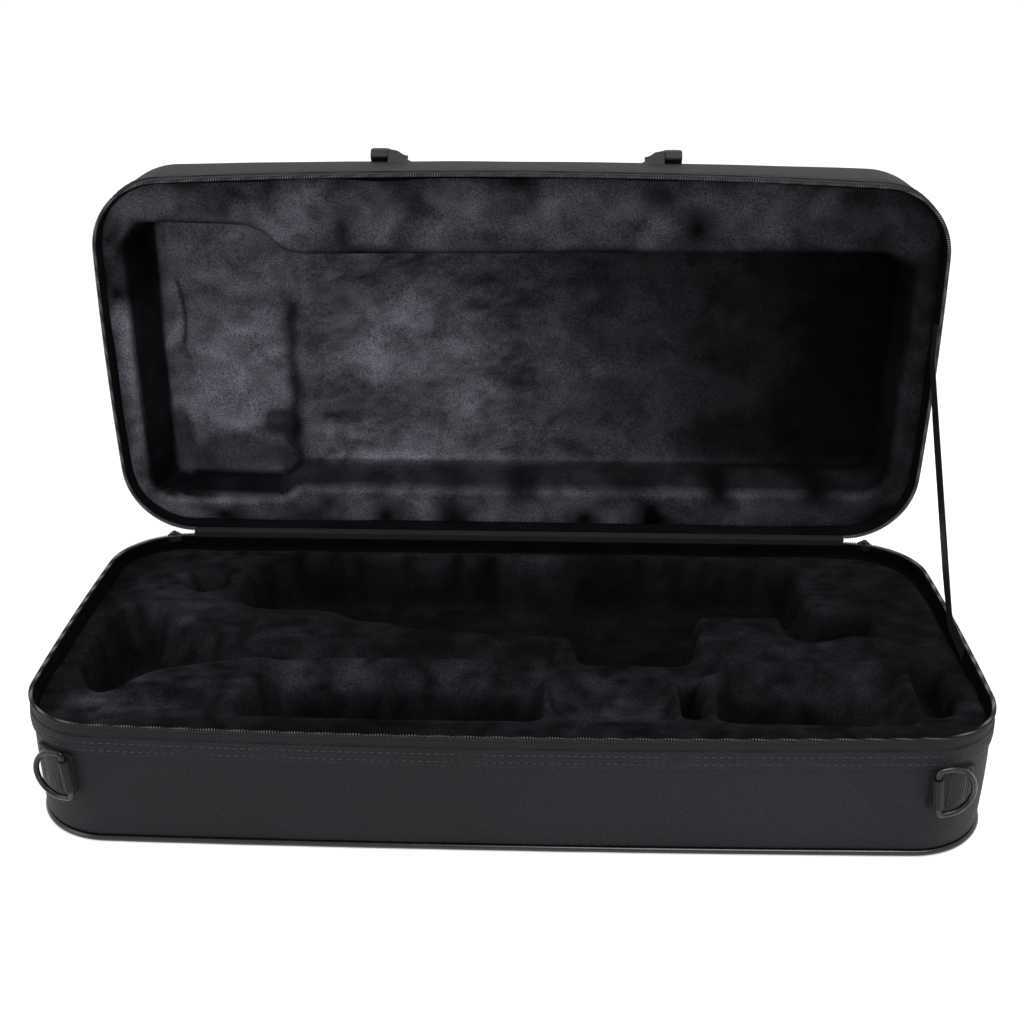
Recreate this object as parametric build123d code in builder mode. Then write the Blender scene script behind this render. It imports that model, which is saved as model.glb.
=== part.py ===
from build123d import *
import os
from math import asin, atan2, cos, degrees, radians, sin, sqrt

os.makedirs("parts", exist_ok=True)

# Soft trumpet case, zipped all round except along its rear edge, with a fitted plush insert.
# X runs left to right, Y front to back, Z up. The origin is the centre of the base's underside.
# The lid stands open on its stop. All sizes are in millimetres, angles in degrees.

# --- outer form ---
WIDTH = 520.0  # left to right, between the corners of the plan
DEPTH = 233.4  # straight rear edge to the front corners of the plan
CORNER_RADIUS = 45.8
FRONT_BOW_RIM = 7.8  # how far the soft front wall bellies out at the zipper
FRONT_BOW_FOOT = 2.8  # and at the bottom edge
SIDE_BOW = 2.9
BASE_HEIGHT = 76.0
LID_HEIGHT = 61.0
LID_EDGE_RADIUS = 8.0
OPEN_ANGLE = 88.2

# --- layers of the wall, from the outside in ---
BAND_THICKNESS = 0.8
COVER_THICKNESS = 1.2
CORE_THICKNESS = 6.0
FLOOR_BOARD = 2.6
LINER_THICKNESS = 0.8
LAY_CLEARANCE = 0.3  # between a soft moulding and what holds it
PIPING_RADIUS = 1.8
FOOT_CLEARANCE = 0.2  # the piping stays this far off the surface below

# --- zipper ---
CHAIN_HEIGHT = 2.6
CHAIN_THICKNESS = 2.6
CHAIN_GAP = 0.6  # from the meeting plane to the teeth of either side
TAPE_HEIGHT = 5.3
TAPE_THICKNESS = 0.6
TAPE_INSET = 1.0
BAND_TOP = 8.0  # distance from the meeting plane
BAND_HEIGHT = 12.0
SLIDER_LENGTH = 9.0
SLIDER_PLATE = 1.0
SLIDER_CLEARANCE = 0.3
SLIDER_REACH = 5.4  # how far the plates reach from the meeting plane
SLIDER_LIP = 0.9  # the outer plate's upper lip
SLIDER_POST = 2.4
SLIDER_PARK = 18.0  # angle round the rear corner where it stands when the case is open
EYE_RADIUS = 0.9
EYE_WALL = 0.9
EYE_WIDTH = 3.0
PULL_LENGTH = 21.0
PULL_WIDTH = 6.0
PULL_THICKNESS = 1.4
PIN_CLEARANCE = 0.08

# --- plush insert and lid lining ---
PLUSH_DROP = 10.0  # from the meeting plane down to the plush
LEDGE_THICKNESS = 1.0
PLUSH_DRAFT = 4.0
INSERT_FRONT_RIM = 17.0
BELL_RADIUS = 60.5
BELL_X = -241.0
BELL_Y = -17.0
BELL_DROP = 6.0  # axis of the bell below the meeting plane
BELL_CLEARANCE = 2.0
TUBE_RADIUS = 6.3
BELL_FLARE = ((4, 60.5), (14, 42), (38, 28), (82, 17), (160, 8.3), (240, 6.3))  # along the axis, radius
TUBE_END = 200.0
POCKET_DEPTH = 54.0  # floor of the deep pockets below the meeting plane
VALVE_DEPTH = 46.0
SHELF_DEPTH = 26.0
GRIP_NOTCH_DEPTH = 22.0
SHOULDER_DROP = 15.0
SHOULDER_RUN = 21.0
END_POCKET_DEPTH = 32.0
MOUTHPIECE_RADIUS = 12.5
MOUTHPIECE_X = -197.0
MOUTHPIECE_Y = 67.0
MOUTHPIECE_DEPTH = 46.0
LID_BELL_DEPTH = 55.5  # recess floors above the meeting plane
LID_BODY_DEPTH = 50.0
LID_BOARD = 2.5

# --- carrying rings on the front corners ---
RING_WIRE = 1.6
RING_HEIGHT = 28.0
RING_REACH = 22.0
RING_CORNER = 3.0
RING_LEVEL = 44.0
RING_TILT = 6.5
RING_ANGLES = {"left": 18.8, "right": 9.2}  # round the corner from the front
WEB_THICKNESS = 1.5
WEB_WRAP = 26.0
SLEEVE_WALL = 1.3

# --- handle on the lid's front wall ---
HANDLE_CENTRE = 3.5
HANDLE_SPAN = 97.5
HANDLE_LEVEL = 54.0
HANDLE_STANDOFF = 4.4
HANDLE_RISE = 36.0
HANDLE_BEND = 50.0
STRAP_WIDTH = 11.0
STRAP_THICKNESS = 3.0
GRIP_RADIUS = 9.0
GRIP_END_RADIUS = 7.2
HANDLE_PIN = 1.5
KNUCKLE_RADIUS = 3.6
KNUCKLE_LENGTH = 12.0
HANDLE_NECK = 8.0
GRIP_END_GAP = 5.0
GRIP_ROUNDING = 3.0
CHAPE_LENGTH = 26.0
CHAPE_THICKNESS = 1.6

# --- stay ribbon on the right ---
STAY_WIDTH = 10.0
STAY_THICKNESS = 0.8
STAY_FOOT_Y = -24.0
STAY_EDGE_Y = 8.0
STAY_LID_Y = -8.0

# --- hinge cloth along the rear ---
HINGE_CLOTH = 1.0
HINGE_LEAF = 9.0

# --- places worked out from the sizes above ---
half_width = WIDTH / 2
hinge_y = DEPTH / 2
cover_inset = BAND_THICKNESS
core_inset = cover_inset + COVER_THICKNESS
insert_inset = core_inset + CORE_THICKNESS + LAY_CLEARANCE
ledge_drop = PLUSH_DROP + LEDGE_THICKNESS
tape_start = CHAIN_GAP + CHAIN_HEIGHT
cover_start = tape_start + TAPE_HEIGHT
piping_level = PIPING_RADIUS + FOOT_CLEARANCE
piping_inset = PIPING_RADIUS + FOOT_CLEARANCE
board_top = COVER_THICKNESS + FLOOR_BOARD
side_radius = (hinge_y**2 + SIDE_BOW**2) / (2 * SIDE_BOW)
corner_y = hinge_y - CORNER_RADIUS
corner_x = half_width + SIDE_BOW - side_radius + sqrt((side_radius - CORNER_RADIUS) ** 2 - corner_y**2)

base_rim = Plane.XY.offset(BASE_HEIGHT)
open_turn = radians(OPEN_ANGLE)
lid_rim = Plane(
    origin=(0, hinge_y * (1 - cos(open_turn)), BASE_HEIGHT + hinge_y * sin(open_turn)),
    x_dir=(1, 0, 0),
    z_dir=(0, sin(open_turn), cos(open_turn)),
)


def front_bow(height):
    # the belly of the front wall fades from the zipper to the far edge
    return FRONT_BOW_RIM - (FRONT_BOW_RIM - FRONT_BOW_FOOT) * abs(height) / BASE_HEIGHT


def front_wall_y(x, height, inset):
    # the front face at x, taking the shallow arc as a parabola
    return -hinge_y - front_bow(height) * (1 - (x / half_width) ** 2) + inset


def side_wall_x(y, inset):
    return half_width + SIDE_BOW * (1 - (y / hinge_y) ** 2) - inset


def arc_radius(half_chord, rise):
    return (half_chord**2 + rise**2) / (2 * rise)


def front_corner(inset, height):
    # where the drawn-in front and side arcs meet; drawn in by the corner radius it is the corner's centre
    bow = front_bow(height)
    front_radius = arc_radius(half_width, bow)
    front_centre = front_radius - bow - hinge_y
    side_centre = half_width + SIDE_BOW - side_radius
    front_x = half_width - inset
    for _ in range(3):
        front_y = front_centre - sqrt((front_radius - inset) ** 2 - front_x**2)
        front_x = side_centre + sqrt((side_radius - inset) ** 2 - front_y**2)
    return front_x, front_y


def case_plan(inset, height):
    # the case's plan at a height from the meeting plane, drawn in by an inset on all sides
    front_x, front_y = front_corner(inset, height)
    rear_y = hinge_y - inset
    rear_x = half_width + SIDE_BOW - side_radius + sqrt((side_radius - inset) ** 2 - rear_y**2)
    front_middle = (0, inset - hinge_y - front_bow(height))
    side_middle = half_width + SIDE_BOW - inset
    with BuildSketch() as plan:
        with BuildLine():
            ThreePointArc((-front_x, front_y), front_middle, (front_x, front_y))
            ThreePointArc((front_x, front_y), (side_middle, 0), (rear_x, rear_y))
            Line((rear_x, rear_y), (-rear_x, rear_y))
            ThreePointArc((-rear_x, rear_y), (-side_middle, 0), (-front_x, front_y))
        make_face()
        fillet(plan.vertices(), CORNER_RADIUS - inset)
    return plan.sketch


def wall_block(rim, inset, low, high):
    # a slice of the case between two heights, cut from the whole tapering form
    far = BASE_HEIGHT if low + high > 0 else -BASE_HEIGHT
    rim_plan = case_plan(inset, 0)
    far_plan = case_plan(inset, far)
    with BuildPart() as block:
        with BuildSketch(rim):
            add(rim_plan)
        with BuildSketch(rim.offset(far)):
            add(far_plan)
        loft(ruled=True)
        split(bisect_by=rim.offset(min(low, high)), keep=Keep.TOP)
        split(bisect_by=rim.offset(max(low, high)), keep=Keep.BOTTOM)
    return block.part


def wall_ring(rim, outer, inner, low, high):
    outside = wall_block(rim, outer, low, high)
    inside = wall_block(rim, inner, low, high)
    with BuildPart() as ring:
        add(outside)
        add(inside, mode=Mode.SUBTRACT)
    return ring.part


def zipped_ring(rim, outer, inner, low, high):
    # a ring that stops where the straight rear edge begins
    ring = wall_ring(rim, outer, inner, low, high)
    with BuildPart() as strip:
        add(ring)
        with BuildSketch(rim.offset(min(low, high))):
            with Locations((0, hinge_y)):
                Rectangle(2 * corner_x, CORNER_RADIUS)
        extrude(amount=abs(high - low), mode=Mode.SUBTRACT)
    return strip.part


def strip_plan(points, width):
    # a strip of even width along straight runs, rounded at its turns
    with BuildSketch() as strip:
        with BuildLine():
            Polyline(*points)
        trace(line_width=width)
        with Locations(*points[1:-1]):
            Circle(width / 2)
    return strip.sketch


def write(piece, name):
    piece.part.label = name
    export_step(piece.part, f"parts/{name}.step")


# --- zipper, band and liner, alike on the base and the lid ---
for half, rim, away in (("base", base_rim, -1), ("lid", lid_rim, 1)):
    chain_near = away * CHAIN_GAP
    chain_far = away * tape_start
    tape_far = away * cover_start
    ledge_near = away * PLUSH_DROP

    chain_ring = zipped_ring(rim, 0, CHAIN_THICKNESS, chain_near, chain_far)
    with BuildPart() as zipper_chain:
        add(chain_ring)
    write(zipper_chain, f"{half}_zipper_chain")

    tape_ring = zipped_ring(rim, TAPE_INSET, TAPE_INSET + TAPE_THICKNESS, chain_far, tape_far)
    with BuildPart() as zipper_tape:
        add(tape_ring)
    write(zipper_tape, f"{half}_zipper_tape")

    band_ring = wall_ring(rim, 0, BAND_THICKNESS, away * BAND_TOP, away * (BAND_TOP + BAND_HEIGHT))
    with BuildPart() as stitched_band:
        add(band_ring)
    write(stitched_band, f"{half}_stitched_band")

    ledge = wall_ring(rim, core_inset, insert_inset, ledge_near, away * ledge_drop)
    upstand = wall_ring(rim, core_inset, core_inset + LINER_THICKNESS, tape_far, ledge_near)
    with BuildPart() as rim_liner:
        add(ledge)
        add(upstand)
    write(rim_liner, f"{half}_rim_liner")

# --- base shell ---
base_wall_foot = board_top - BASE_HEIGHT
board_inset = piping_inset + PIPING_RADIUS
side_skin = wall_ring(base_rim, cover_inset, core_inset, base_wall_foot, -cover_start)
with BuildPart() as base_side_cover:
    add(side_skin)
write(base_side_cover, "base_side_cover")

bottom_skin = wall_block(base_rim, board_inset, -BASE_HEIGHT, COVER_THICKNESS - BASE_HEIGHT)
with BuildPart() as base_bottom_cover:
    add(bottom_skin)
write(base_bottom_cover, "base_bottom_cover")

piping_plan = base_rim.offset(piping_level - BASE_HEIGHT) * case_plan(
    piping_inset, piping_level - BASE_HEIGHT
)
piping_path = piping_plan.faces()[0].outer_wire()
with BuildPart() as base_piping:
    with BuildSketch(Plane(piping_path @ 0, z_dir=piping_path % 0)):
        Circle(PIPING_RADIUS)
    sweep(path=piping_path)
write(base_piping, "base_piping")

floor_sheet = wall_block(base_rim, board_inset, COVER_THICKNESS - BASE_HEIGHT, base_wall_foot)
with BuildPart() as base_floor_board:
    add(floor_sheet)
write(base_floor_board, "base_floor_board")

core_ring = wall_ring(base_rim, core_inset, core_inset + CORE_THICKNESS, base_wall_foot, -ledge_drop)
with BuildPart() as base_wall_core:
    add(core_ring)
write(base_wall_core, "base_wall_core")

# --- plush insert of the base ---
plush_top = base_rim.offset(-PLUSH_DROP)
insert_block = wall_block(base_rim, insert_inset, base_wall_foot + LAY_CLEARANCE, -PLUSH_DROP)
pocket_front = -hinge_y + insert_inset + INSERT_FRONT_RIM
bell_back = BELL_X - BELL_CLEARANCE
bell_hollow = BELL_RADIUS + BELL_CLEARANCE
tube_hollow = TUBE_RADIUS + BELL_CLEARANCE
bell_axis = BASE_HEIGHT - BELL_DROP
plush_level = BASE_HEIGHT - PLUSH_DROP

shelf_left = 20.0
shelf_right = 93.0
valley_right = 107.0
ridge_right = 122.0
divider_left = 222.0
wall_y = BELL_Y - TUBE_RADIUS - SHOULDER_RUN
recess_left_end = -172.0
recess_right_end = 178.0
recess_rear = 98.0
# each pocket in plan: its corners, their radius and its floor below the rim
pockets = (
    (((-152, pocket_front), (shelf_left, pocket_front), (shelf_left, wall_y), (-138, wall_y)), 9, POCKET_DEPTH),
    (
        ((shelf_left - 1, pocket_front), (shelf_right, pocket_front), (shelf_right, wall_y + 14),
         (shelf_left - 1, wall_y + 14)),
        5,
        SHELF_DEPTH,
    ),
    (
        ((shelf_right, pocket_front + 4), (valley_right, pocket_front + 4), (valley_right, -34), (shelf_right, -34)),
        5,
        POCKET_DEPTH - 8,
    ),
    (
        ((ridge_right, pocket_front), (divider_left, pocket_front), (divider_left, wall_y + 6),
         (ridge_right, wall_y)),
        9,
        POCKET_DEPTH,
    ),
    (((225, pocket_front + 4), (244, pocket_front + 12), (246, -30), (227, -26)), 7, END_POCKET_DEPTH),
    (((-1, -46), (120, -46), (120, -6), (-1, -6)), 6, GRIP_NOTCH_DEPTH),
    (
        ((recess_left_end, 36), (-104, 31), (-95, 17), (32, 2), (32, -14), (109, -14), (109, 28),
         (recess_right_end, 28), (recess_right_end, recess_rear), (-146, recess_rear), (recess_left_end, 74)),
        7,
        VALVE_DEPTH,
    ),
    (((163, -6), (216, -2), (216, 30), (163, 34)), 12, VALVE_DEPTH - 6),
)
shoulders = ((-136, shelf_left - 2), (ridge_right + 2, 214))

with BuildPart() as base_insert:
    add(insert_block)
    for corners, rounding, floor in pockets:
        with BuildSketch(plush_top) as mouth:
            with BuildLine():
                Polyline(*corners, close=True)
            make_face()
            fillet(mouth.vertices(), rounding)
        extrude(amount=PLUSH_DROP - floor, taper=PLUSH_DRAFT, mode=Mode.SUBTRACT)
    for left, right in shoulders:
        with BuildSketch(Plane.YZ.offset(left)):
            with BuildLine():
                Polyline(
                    (wall_y, BASE_HEIGHT),
                    (wall_y, plush_level - SHOULDER_DROP),
                    (wall_y + SHOULDER_RUN, plush_level),
                    (wall_y + SHOULDER_RUN, BASE_HEIGHT),
                    close=True,
                )
            make_face()
        extrude(amount=right - left, mode=Mode.SUBTRACT)
    # the bell lies on its side in a flared trough that runs out into a round channel
    with BuildSketch(Plane.XZ.offset(-BELL_Y)):
        with BuildLine():
            Polyline(
                (BELL_X + BELL_FLARE[-1][0], bell_axis + tube_hollow),
                (TUBE_END, bell_axis + tube_hollow),
                (TUBE_END, bell_axis),
                (bell_back, bell_axis),
                (bell_back, bell_axis + bell_hollow),
                (BELL_X + BELL_FLARE[0][0], bell_axis + bell_hollow),
            )
            Spline([(BELL_X + reach, bell_axis + radius + BELL_CLEARANCE) for reach, radius in BELL_FLARE])
        make_face()
    revolve(axis=Axis((0, BELL_Y, bell_axis), (1, 0, 0)), mode=Mode.SUBTRACT)
    with BuildSketch(plush_top):
        with Locations((MOUTHPIECE_X, MOUTHPIECE_Y)):
            Circle(MOUTHPIECE_RADIUS)
    extrude(amount=-MOUTHPIECE_DEPTH, mode=Mode.SUBTRACT)
write(base_insert, "base_insert")

# --- lid shell and lining ---
lid_axis = Axis(lid_rim.origin, lid_rim.z_dir)
core_top = LID_HEIGHT - COVER_THICKNESS
lining_top = core_top - LID_BOARD
cover_form = wall_block(lid_rim, cover_inset, cover_start, LID_HEIGHT)
cover_hollow = wall_block(lid_rim, core_inset, cover_start, core_top)
core_form = wall_block(lid_rim, core_inset, ledge_drop, core_top)
core_hollow = wall_block(lid_rim, core_inset + CORE_THICKNESS, ledge_drop, lining_top)
core_edge_radius = LID_EDGE_RADIUS - COVER_THICKNESS


def rounded_top(block, radius):
    with BuildPart() as form:
        add(block)
        fillet(form.edges().group_by(lid_axis)[-1], radius)
    return form.part


cover_form = rounded_top(cover_form, LID_EDGE_RADIUS)
cover_hollow = rounded_top(cover_hollow, core_edge_radius)
core_form = rounded_top(core_form, core_edge_radius)

with BuildPart() as lid_cover:
    add(cover_form)
    add(cover_hollow, mode=Mode.SUBTRACT)
write(lid_cover, "lid_cover")

with BuildPart() as lid_core:
    add(core_form)
    add(core_hollow, mode=Mode.SUBTRACT)
write(lid_core, "lid_core")

lining_block = wall_block(lid_rim, insert_inset, PLUSH_DROP, lining_top - LAY_CLEARANCE)
recess_left = -244
recess_right = 242
step_left = -162
step_right = -152
lid_recesses = (
    (((recess_left, -95), (step_left, -95), (step_left, 97), (recess_left, 97)), 9, LID_BELL_DEPTH),
    (((step_right, -76), (recess_right, -76), (recess_right, 87), (step_right, 87)), 9, LID_BODY_DEPTH),
    (((step_left - 14, -86), (step_right + 14, -76), (step_right + 14, 87), (step_left - 14, 92)), 3, LID_BODY_DEPTH),
)
with BuildPart() as lid_lining:
    add(lining_block)
    for corners, rounding, floor in lid_recesses:
        with BuildSketch(lid_rim.offset(PLUSH_DROP)) as mouth:
            with BuildLine():
                Polyline(*corners, close=True)
            make_face()
            fillet(mouth.vertices(), rounding)
        extrude(amount=floor - PLUSH_DROP, taper=PLUSH_DRAFT, mode=Mode.SUBTRACT)
write(lid_lining, "lid_lining")

# --- hinge cloth: one outside leaf and one inside leaf joining the two rear walls ---
hinge_run = 2 * (corner_x - LAY_CLEARANCE)


def rear_of_lid(inset, height):
    spot = lid_rim.from_local_coords((0, hinge_y - inset, height))
    return (spot.Y, spot.Z)


with BuildPart() as hinge_cloth_outer:
    with BuildSketch(Plane.YZ.offset(-hinge_run / 2)):
        with BuildLine():
            Polyline(
                (hinge_y, BASE_HEIGHT - HINGE_LEAF),
                (hinge_y + HINGE_CLOTH, BASE_HEIGHT - HINGE_LEAF),
                (hinge_y + HINGE_CLOTH, BASE_HEIGHT - HINGE_CLOTH),
                (hinge_y + HINGE_LEAF, BASE_HEIGHT - HINGE_CLOTH),
                (hinge_y + HINGE_LEAF, BASE_HEIGHT),
                (hinge_y, BASE_HEIGHT),
                close=True,
            )
        make_face()
    extrude(amount=hinge_run)
write(hinge_cloth_outer, "hinge_cloth_outer")

inner_face = cover_inset + HINGE_CLOTH
with BuildPart() as hinge_cloth_inner:
    with BuildSketch(Plane.YZ.offset(-hinge_run / 2)):
        with BuildLine():
            Polyline(
                (hinge_y - cover_inset, BASE_HEIGHT - cover_start),
                (hinge_y - cover_inset, BASE_HEIGHT + cover_inset),
                rear_of_lid(cover_inset, cover_start),
                rear_of_lid(inner_face, cover_start),
                (hinge_y - inner_face, BASE_HEIGHT + inner_face),
                (hinge_y - inner_face, BASE_HEIGHT - cover_start),
                close=True,
            )
        make_face()
    extrude(amount=hinge_run)
write(hinge_cloth_inner, "hinge_cloth_inner")

# --- stay ribbon holding the lid open ---
stay_outer = core_inset + LINER_THICKNESS + PIN_CLEARANCE
stay_x = side_wall_x(STAY_FOOT_Y + STAY_LID_Y, stay_outer)
stay_sink = PLUSH_DROP - STAY_WIDTH / 2 - STAY_THICKNESS
stay_foot = (STAY_FOOT_Y, BASE_HEIGHT - stay_sink)
stay_edge = (STAY_EDGE_Y, BASE_HEIGHT - CHAIN_GAP)
lid_edge = lid_rim.from_local_coords((0, STAY_LID_Y, CHAIN_GAP))
lid_foot = lid_rim.from_local_coords((0, STAY_LID_Y + STAY_FOOT_Y, stay_sink))
stay_form = strip_plan(
    (stay_foot, stay_edge, (lid_edge.Y, lid_edge.Z), (lid_foot.Y, lid_foot.Z)), STAY_WIDTH
)
with BuildPart() as stay_ribbon:
    with BuildSketch(Plane.YZ.offset(stay_x - STAY_THICKNESS)):
        add(stay_form)
    extrude(amount=STAY_THICKNESS)
write(stay_ribbon, "stay_ribbon")


def polar(degrees_from_x, reach):
    return Vector(reach, 0).rotate(Axis.Z, degrees_from_x)


def arc_strip(centre, inner, outer, middle_angle, half_angle):
    # a piece of a flat ring round a point, between two radii
    far = 2 * outer
    with BuildSketch() as strip:
        with Locations(centre):
            Circle(outer)
            Circle(inner, mode=Mode.SUBTRACT)
        with BuildLine():
            Polyline(
                centre,
                centre + polar(middle_angle - half_angle, far),
                centre + polar(middle_angle + half_angle, far),
                close=True,
            )
        make_face(mode=Mode.INTERSECT)
    return strip.sketch


# --- carrying rings: a folded web on each front corner holds the ring's straight bar ---
half_ring = RING_HEIGHT / 2
half_bar = half_ring - RING_CORNER
sleeve_bore = RING_WIRE + PIN_CLEARANCE
sleeve_radius = sleeve_bore + SLEEVE_WALL
web_low = RING_LEVEL - half_bar - BASE_HEIGHT
web_high = RING_LEVEL + half_bar - BASE_HEIGHT
web_layer = wall_ring(base_rim, cover_inset - WEB_THICKNESS, cover_inset, web_low, web_high)
ring_corner_x, ring_corner_y = front_corner(CORNER_RADIUS, RING_LEVEL - BASE_HEIGHT)
tilt = radians(RING_TILT)
for side, hand in (("left", -1), ("right", 1)):
    bar_angle = -90 + hand * RING_ANGLES[side]
    corner = Vector(hand * ring_corner_x, ring_corner_y)
    outward = polar(bar_angle, 1)
    along = polar(bar_angle + hand * 90, 1)
    bar_centre = corner + outward * (CORNER_RADIUS - cover_inset + WEB_THICKNESS + sleeve_radius - PIN_CLEARANCE)
    bar_centre = Vector(bar_centre.X, bar_centre.Y, RING_LEVEL)
    ring_plane = Plane(bar_centre, x_dir=along * cos(tilt) + Vector(0, 0, hand * sin(tilt)), z_dir=outward)
    bar_plane = Plane(bar_centre, x_dir=outward, z_dir=ring_plane.y_dir)
    web_sector = arc_strip(corner, 1, 2 * CORNER_RADIUS, bar_angle + hand * WEB_WRAP / 2, WEB_WRAP / 2 + 2)

    with BuildPart() as ring_web:
        add(web_layer)
        with BuildSketch(base_rim.offset(web_low)):
            add(web_sector)
        extrude(amount=web_high - web_low, mode=Mode.INTERSECT)
        with BuildSketch(bar_plane):
            Circle(sleeve_radius)
        extrude(amount=half_bar - RING_CORNER / 2, both=True)
        with BuildSketch(bar_plane):
            Circle(sleeve_bore)
        extrude(amount=half_bar, both=True, mode=Mode.SUBTRACT)
    write(ring_web, f"{side}_ring_web")

    with BuildSketch(ring_plane) as ring_form:
        with BuildLine():
            Polyline(
                (RING_REACH - half_ring, half_ring),
                (0, half_ring),
                (0, -half_ring),
                (RING_REACH - half_ring, -half_ring),
            )
            CenterArc((RING_REACH - half_ring, 0), half_ring, -90, 180)
        make_face()
        fillet(ring_form.vertices().group_by(Axis.X)[0], RING_CORNER)
    ring_path = ring_form.sketch.faces()[0].outer_wire()
    with BuildPart() as carrying_ring:
        with BuildSketch(Plane(ring_path @ 0, z_dir=ring_path % 0)):
            Circle(RING_WIRE)
        sweep(path=ring_path)
    write(carrying_ring, f"{side}_carrying_ring")

# --- zipper sliders, parked at the rear ends of the chain, each with a hanging pull ---
plate_in = CORNER_RADIUS + SLIDER_CLEARANCE
plate_out = plate_in + SLIDER_PLATE
inner_plate_out = CORNER_RADIUS - CHAIN_THICKNESS - SLIDER_CLEARANCE
inner_plate_in = inner_plate_out - SLIDER_PLATE
slider_half_angle = degrees(SLIDER_LENGTH / 2 / CORNER_RADIUS)
post_half_angle = degrees(SLIDER_POST / 2 / CORNER_RADIUS)
post_height = 2 * (CHAIN_GAP - SLIDER_CLEARANCE)
eye_outer = EYE_RADIUS + EYE_WALL
eye_root = eye_outer + SLIDER_PLATE / 2
eye_level = BASE_HEIGHT - eye_outer
cheek_in = EYE_WIDTH / 2 + PIN_CLEARANCE
for side, hand in (("left", -1), ("right", 1)):
    park_angle = 90 - hand * SLIDER_PARK
    corner = Vector(hand * corner_x, corner_y)
    outward = polar(park_angle, 1)
    eye_centre = corner + outward * (plate_out + eye_outer)
    eye_centre = Vector(eye_centre.X, eye_centre.Y, eye_level)
    pull_plane = Plane(eye_centre, x_dir=polar(park_angle + 90, 1), z_dir=outward)
    pin_plane = Plane(eye_centre, x_dir=outward, z_dir=polar(park_angle + 90, 1))
    outer_plate = arc_strip(corner, plate_in, plate_out, park_angle, slider_half_angle)
    inner_plate = arc_strip(corner, inner_plate_in, inner_plate_out, park_angle, slider_half_angle)
    post = arc_strip(corner, inner_plate_in, plate_out, park_angle, post_half_angle)

    with BuildPart() as slider:
        with BuildSketch(base_rim.offset(-SLIDER_REACH)):
            add(outer_plate)
            add(inner_plate)
        extrude(amount=SLIDER_REACH + SLIDER_LIP)
        with BuildSketch(base_rim.offset(-post_height / 2)):
            add(post)
        extrude(amount=post_height)
        with BuildSketch(pin_plane):
            Circle(eye_outer)
            with Locations((-eye_root / 2, 0)):
                Rectangle(eye_root, 2 * eye_outer)
        extrude(amount=EYE_WIDTH / 2, both=True)
        with BuildSketch(pin_plane):
            Circle(EYE_RADIUS)
        extrude(amount=EYE_WIDTH, both=True, mode=Mode.SUBTRACT)
    write(slider, f"{side}_zipper_slider")

    with BuildPart() as pull:
        with BuildSketch(pull_plane) as tab:
            with Locations((0, -PULL_LENGTH / 2)):
                RectangleRounded(PULL_WIDTH, PULL_LENGTH + 2 * EYE_WALL, PULL_WIDTH / 3)
            Rectangle(2 * cheek_in, 2 * (eye_outer + PIN_CLEARANCE), mode=Mode.SUBTRACT)
            with Locations((0, -PULL_LENGTH * 0.75)):
                SlotOverall(PULL_LENGTH / 3, PULL_WIDTH / 2.5, rotation=90, mode=Mode.SUBTRACT)
        extrude(amount=PULL_THICKNESS / 2, both=True)
        with BuildSketch(pin_plane):
            Circle(EYE_RADIUS - PIN_CLEARANCE)
        extrude(amount=PULL_WIDTH / 2, both=True)
    write(pull, f"{side}_zipper_pull")

# --- handle: a padded grip on a flat strap, pinned to two chapes on the lid's front wall ---
barrel_radius = HANDLE_PIN + STRAP_THICKNESS / 2
half_pitch = HANDLE_SPAN - STRAP_WIDTH / 2  # from the handle's middle to the middle of each strap end
knuckle_middle = HANDLE_SPAN - STRAP_WIDTH - SLIDER_CLEARANCE - KNUCKLE_LENGTH / 2
pin_length = STRAP_WIDTH + SLIDER_CLEARANCE + KNUCKLE_LENGTH
pivot_y = front_wall_y(HANDLE_SPAN, HANDLE_LEVEL, cover_inset) - HANDLE_STANDOFF
reach_y = front_wall_y(HANDLE_BEND, LID_HEIGHT - LID_EDGE_RADIUS, cover_inset) + LID_EDGE_RADIUS - pivot_y
reach_h = LID_HEIGHT - LID_EDGE_RADIUS - HANDLE_LEVEL
hang_gap = LID_EDGE_RADIUS + STRAP_THICKNESS / 2 + SLIDER_CLEARANCE
hang_angle = atan2(reach_h, reach_y) + asin(hang_gap / sqrt(reach_y**2 + reach_h**2))
pivot = lid_rim.from_local_coords((HANDLE_CENTRE, pivot_y, HANDLE_LEVEL))
hang = lid_rim.y_dir * cos(hang_angle) + lid_rim.z_dir * sin(hang_angle)
handle_plane = Plane(pivot, x_dir=(1, 0, 0), z_dir=Vector(1, 0, 0).cross(hang))
cross_plane = Plane(pivot, x_dir=hang, z_dir=(1, 0, 0))
grip_half = HANDLE_BEND - GRIP_END_GAP
strap_form = strip_plan(
    (
        (-half_pitch, 0),
        (-half_pitch, HANDLE_NECK),
        (-HANDLE_BEND, HANDLE_RISE),
        (HANDLE_BEND, HANDLE_RISE),
        (half_pitch, HANDLE_NECK),
        (half_pitch, 0),
    ),
    STRAP_WIDTH,
)
with BuildPart() as handle_strap:
    with BuildSketch(handle_plane):
        add(strap_form)
    extrude(amount=STRAP_THICKNESS / 2, both=True)
    with BuildSketch(cross_plane.offset(-half_pitch), cross_plane.offset(half_pitch)):
        Circle(barrel_radius)
    extrude(amount=STRAP_WIDTH / 2, both=True)
    with BuildSketch(cross_plane):
        Circle(HANDLE_PIN)
    extrude(amount=HANDLE_SPAN, both=True, mode=Mode.SUBTRACT)
write(handle_strap, "handle_strap")

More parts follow.
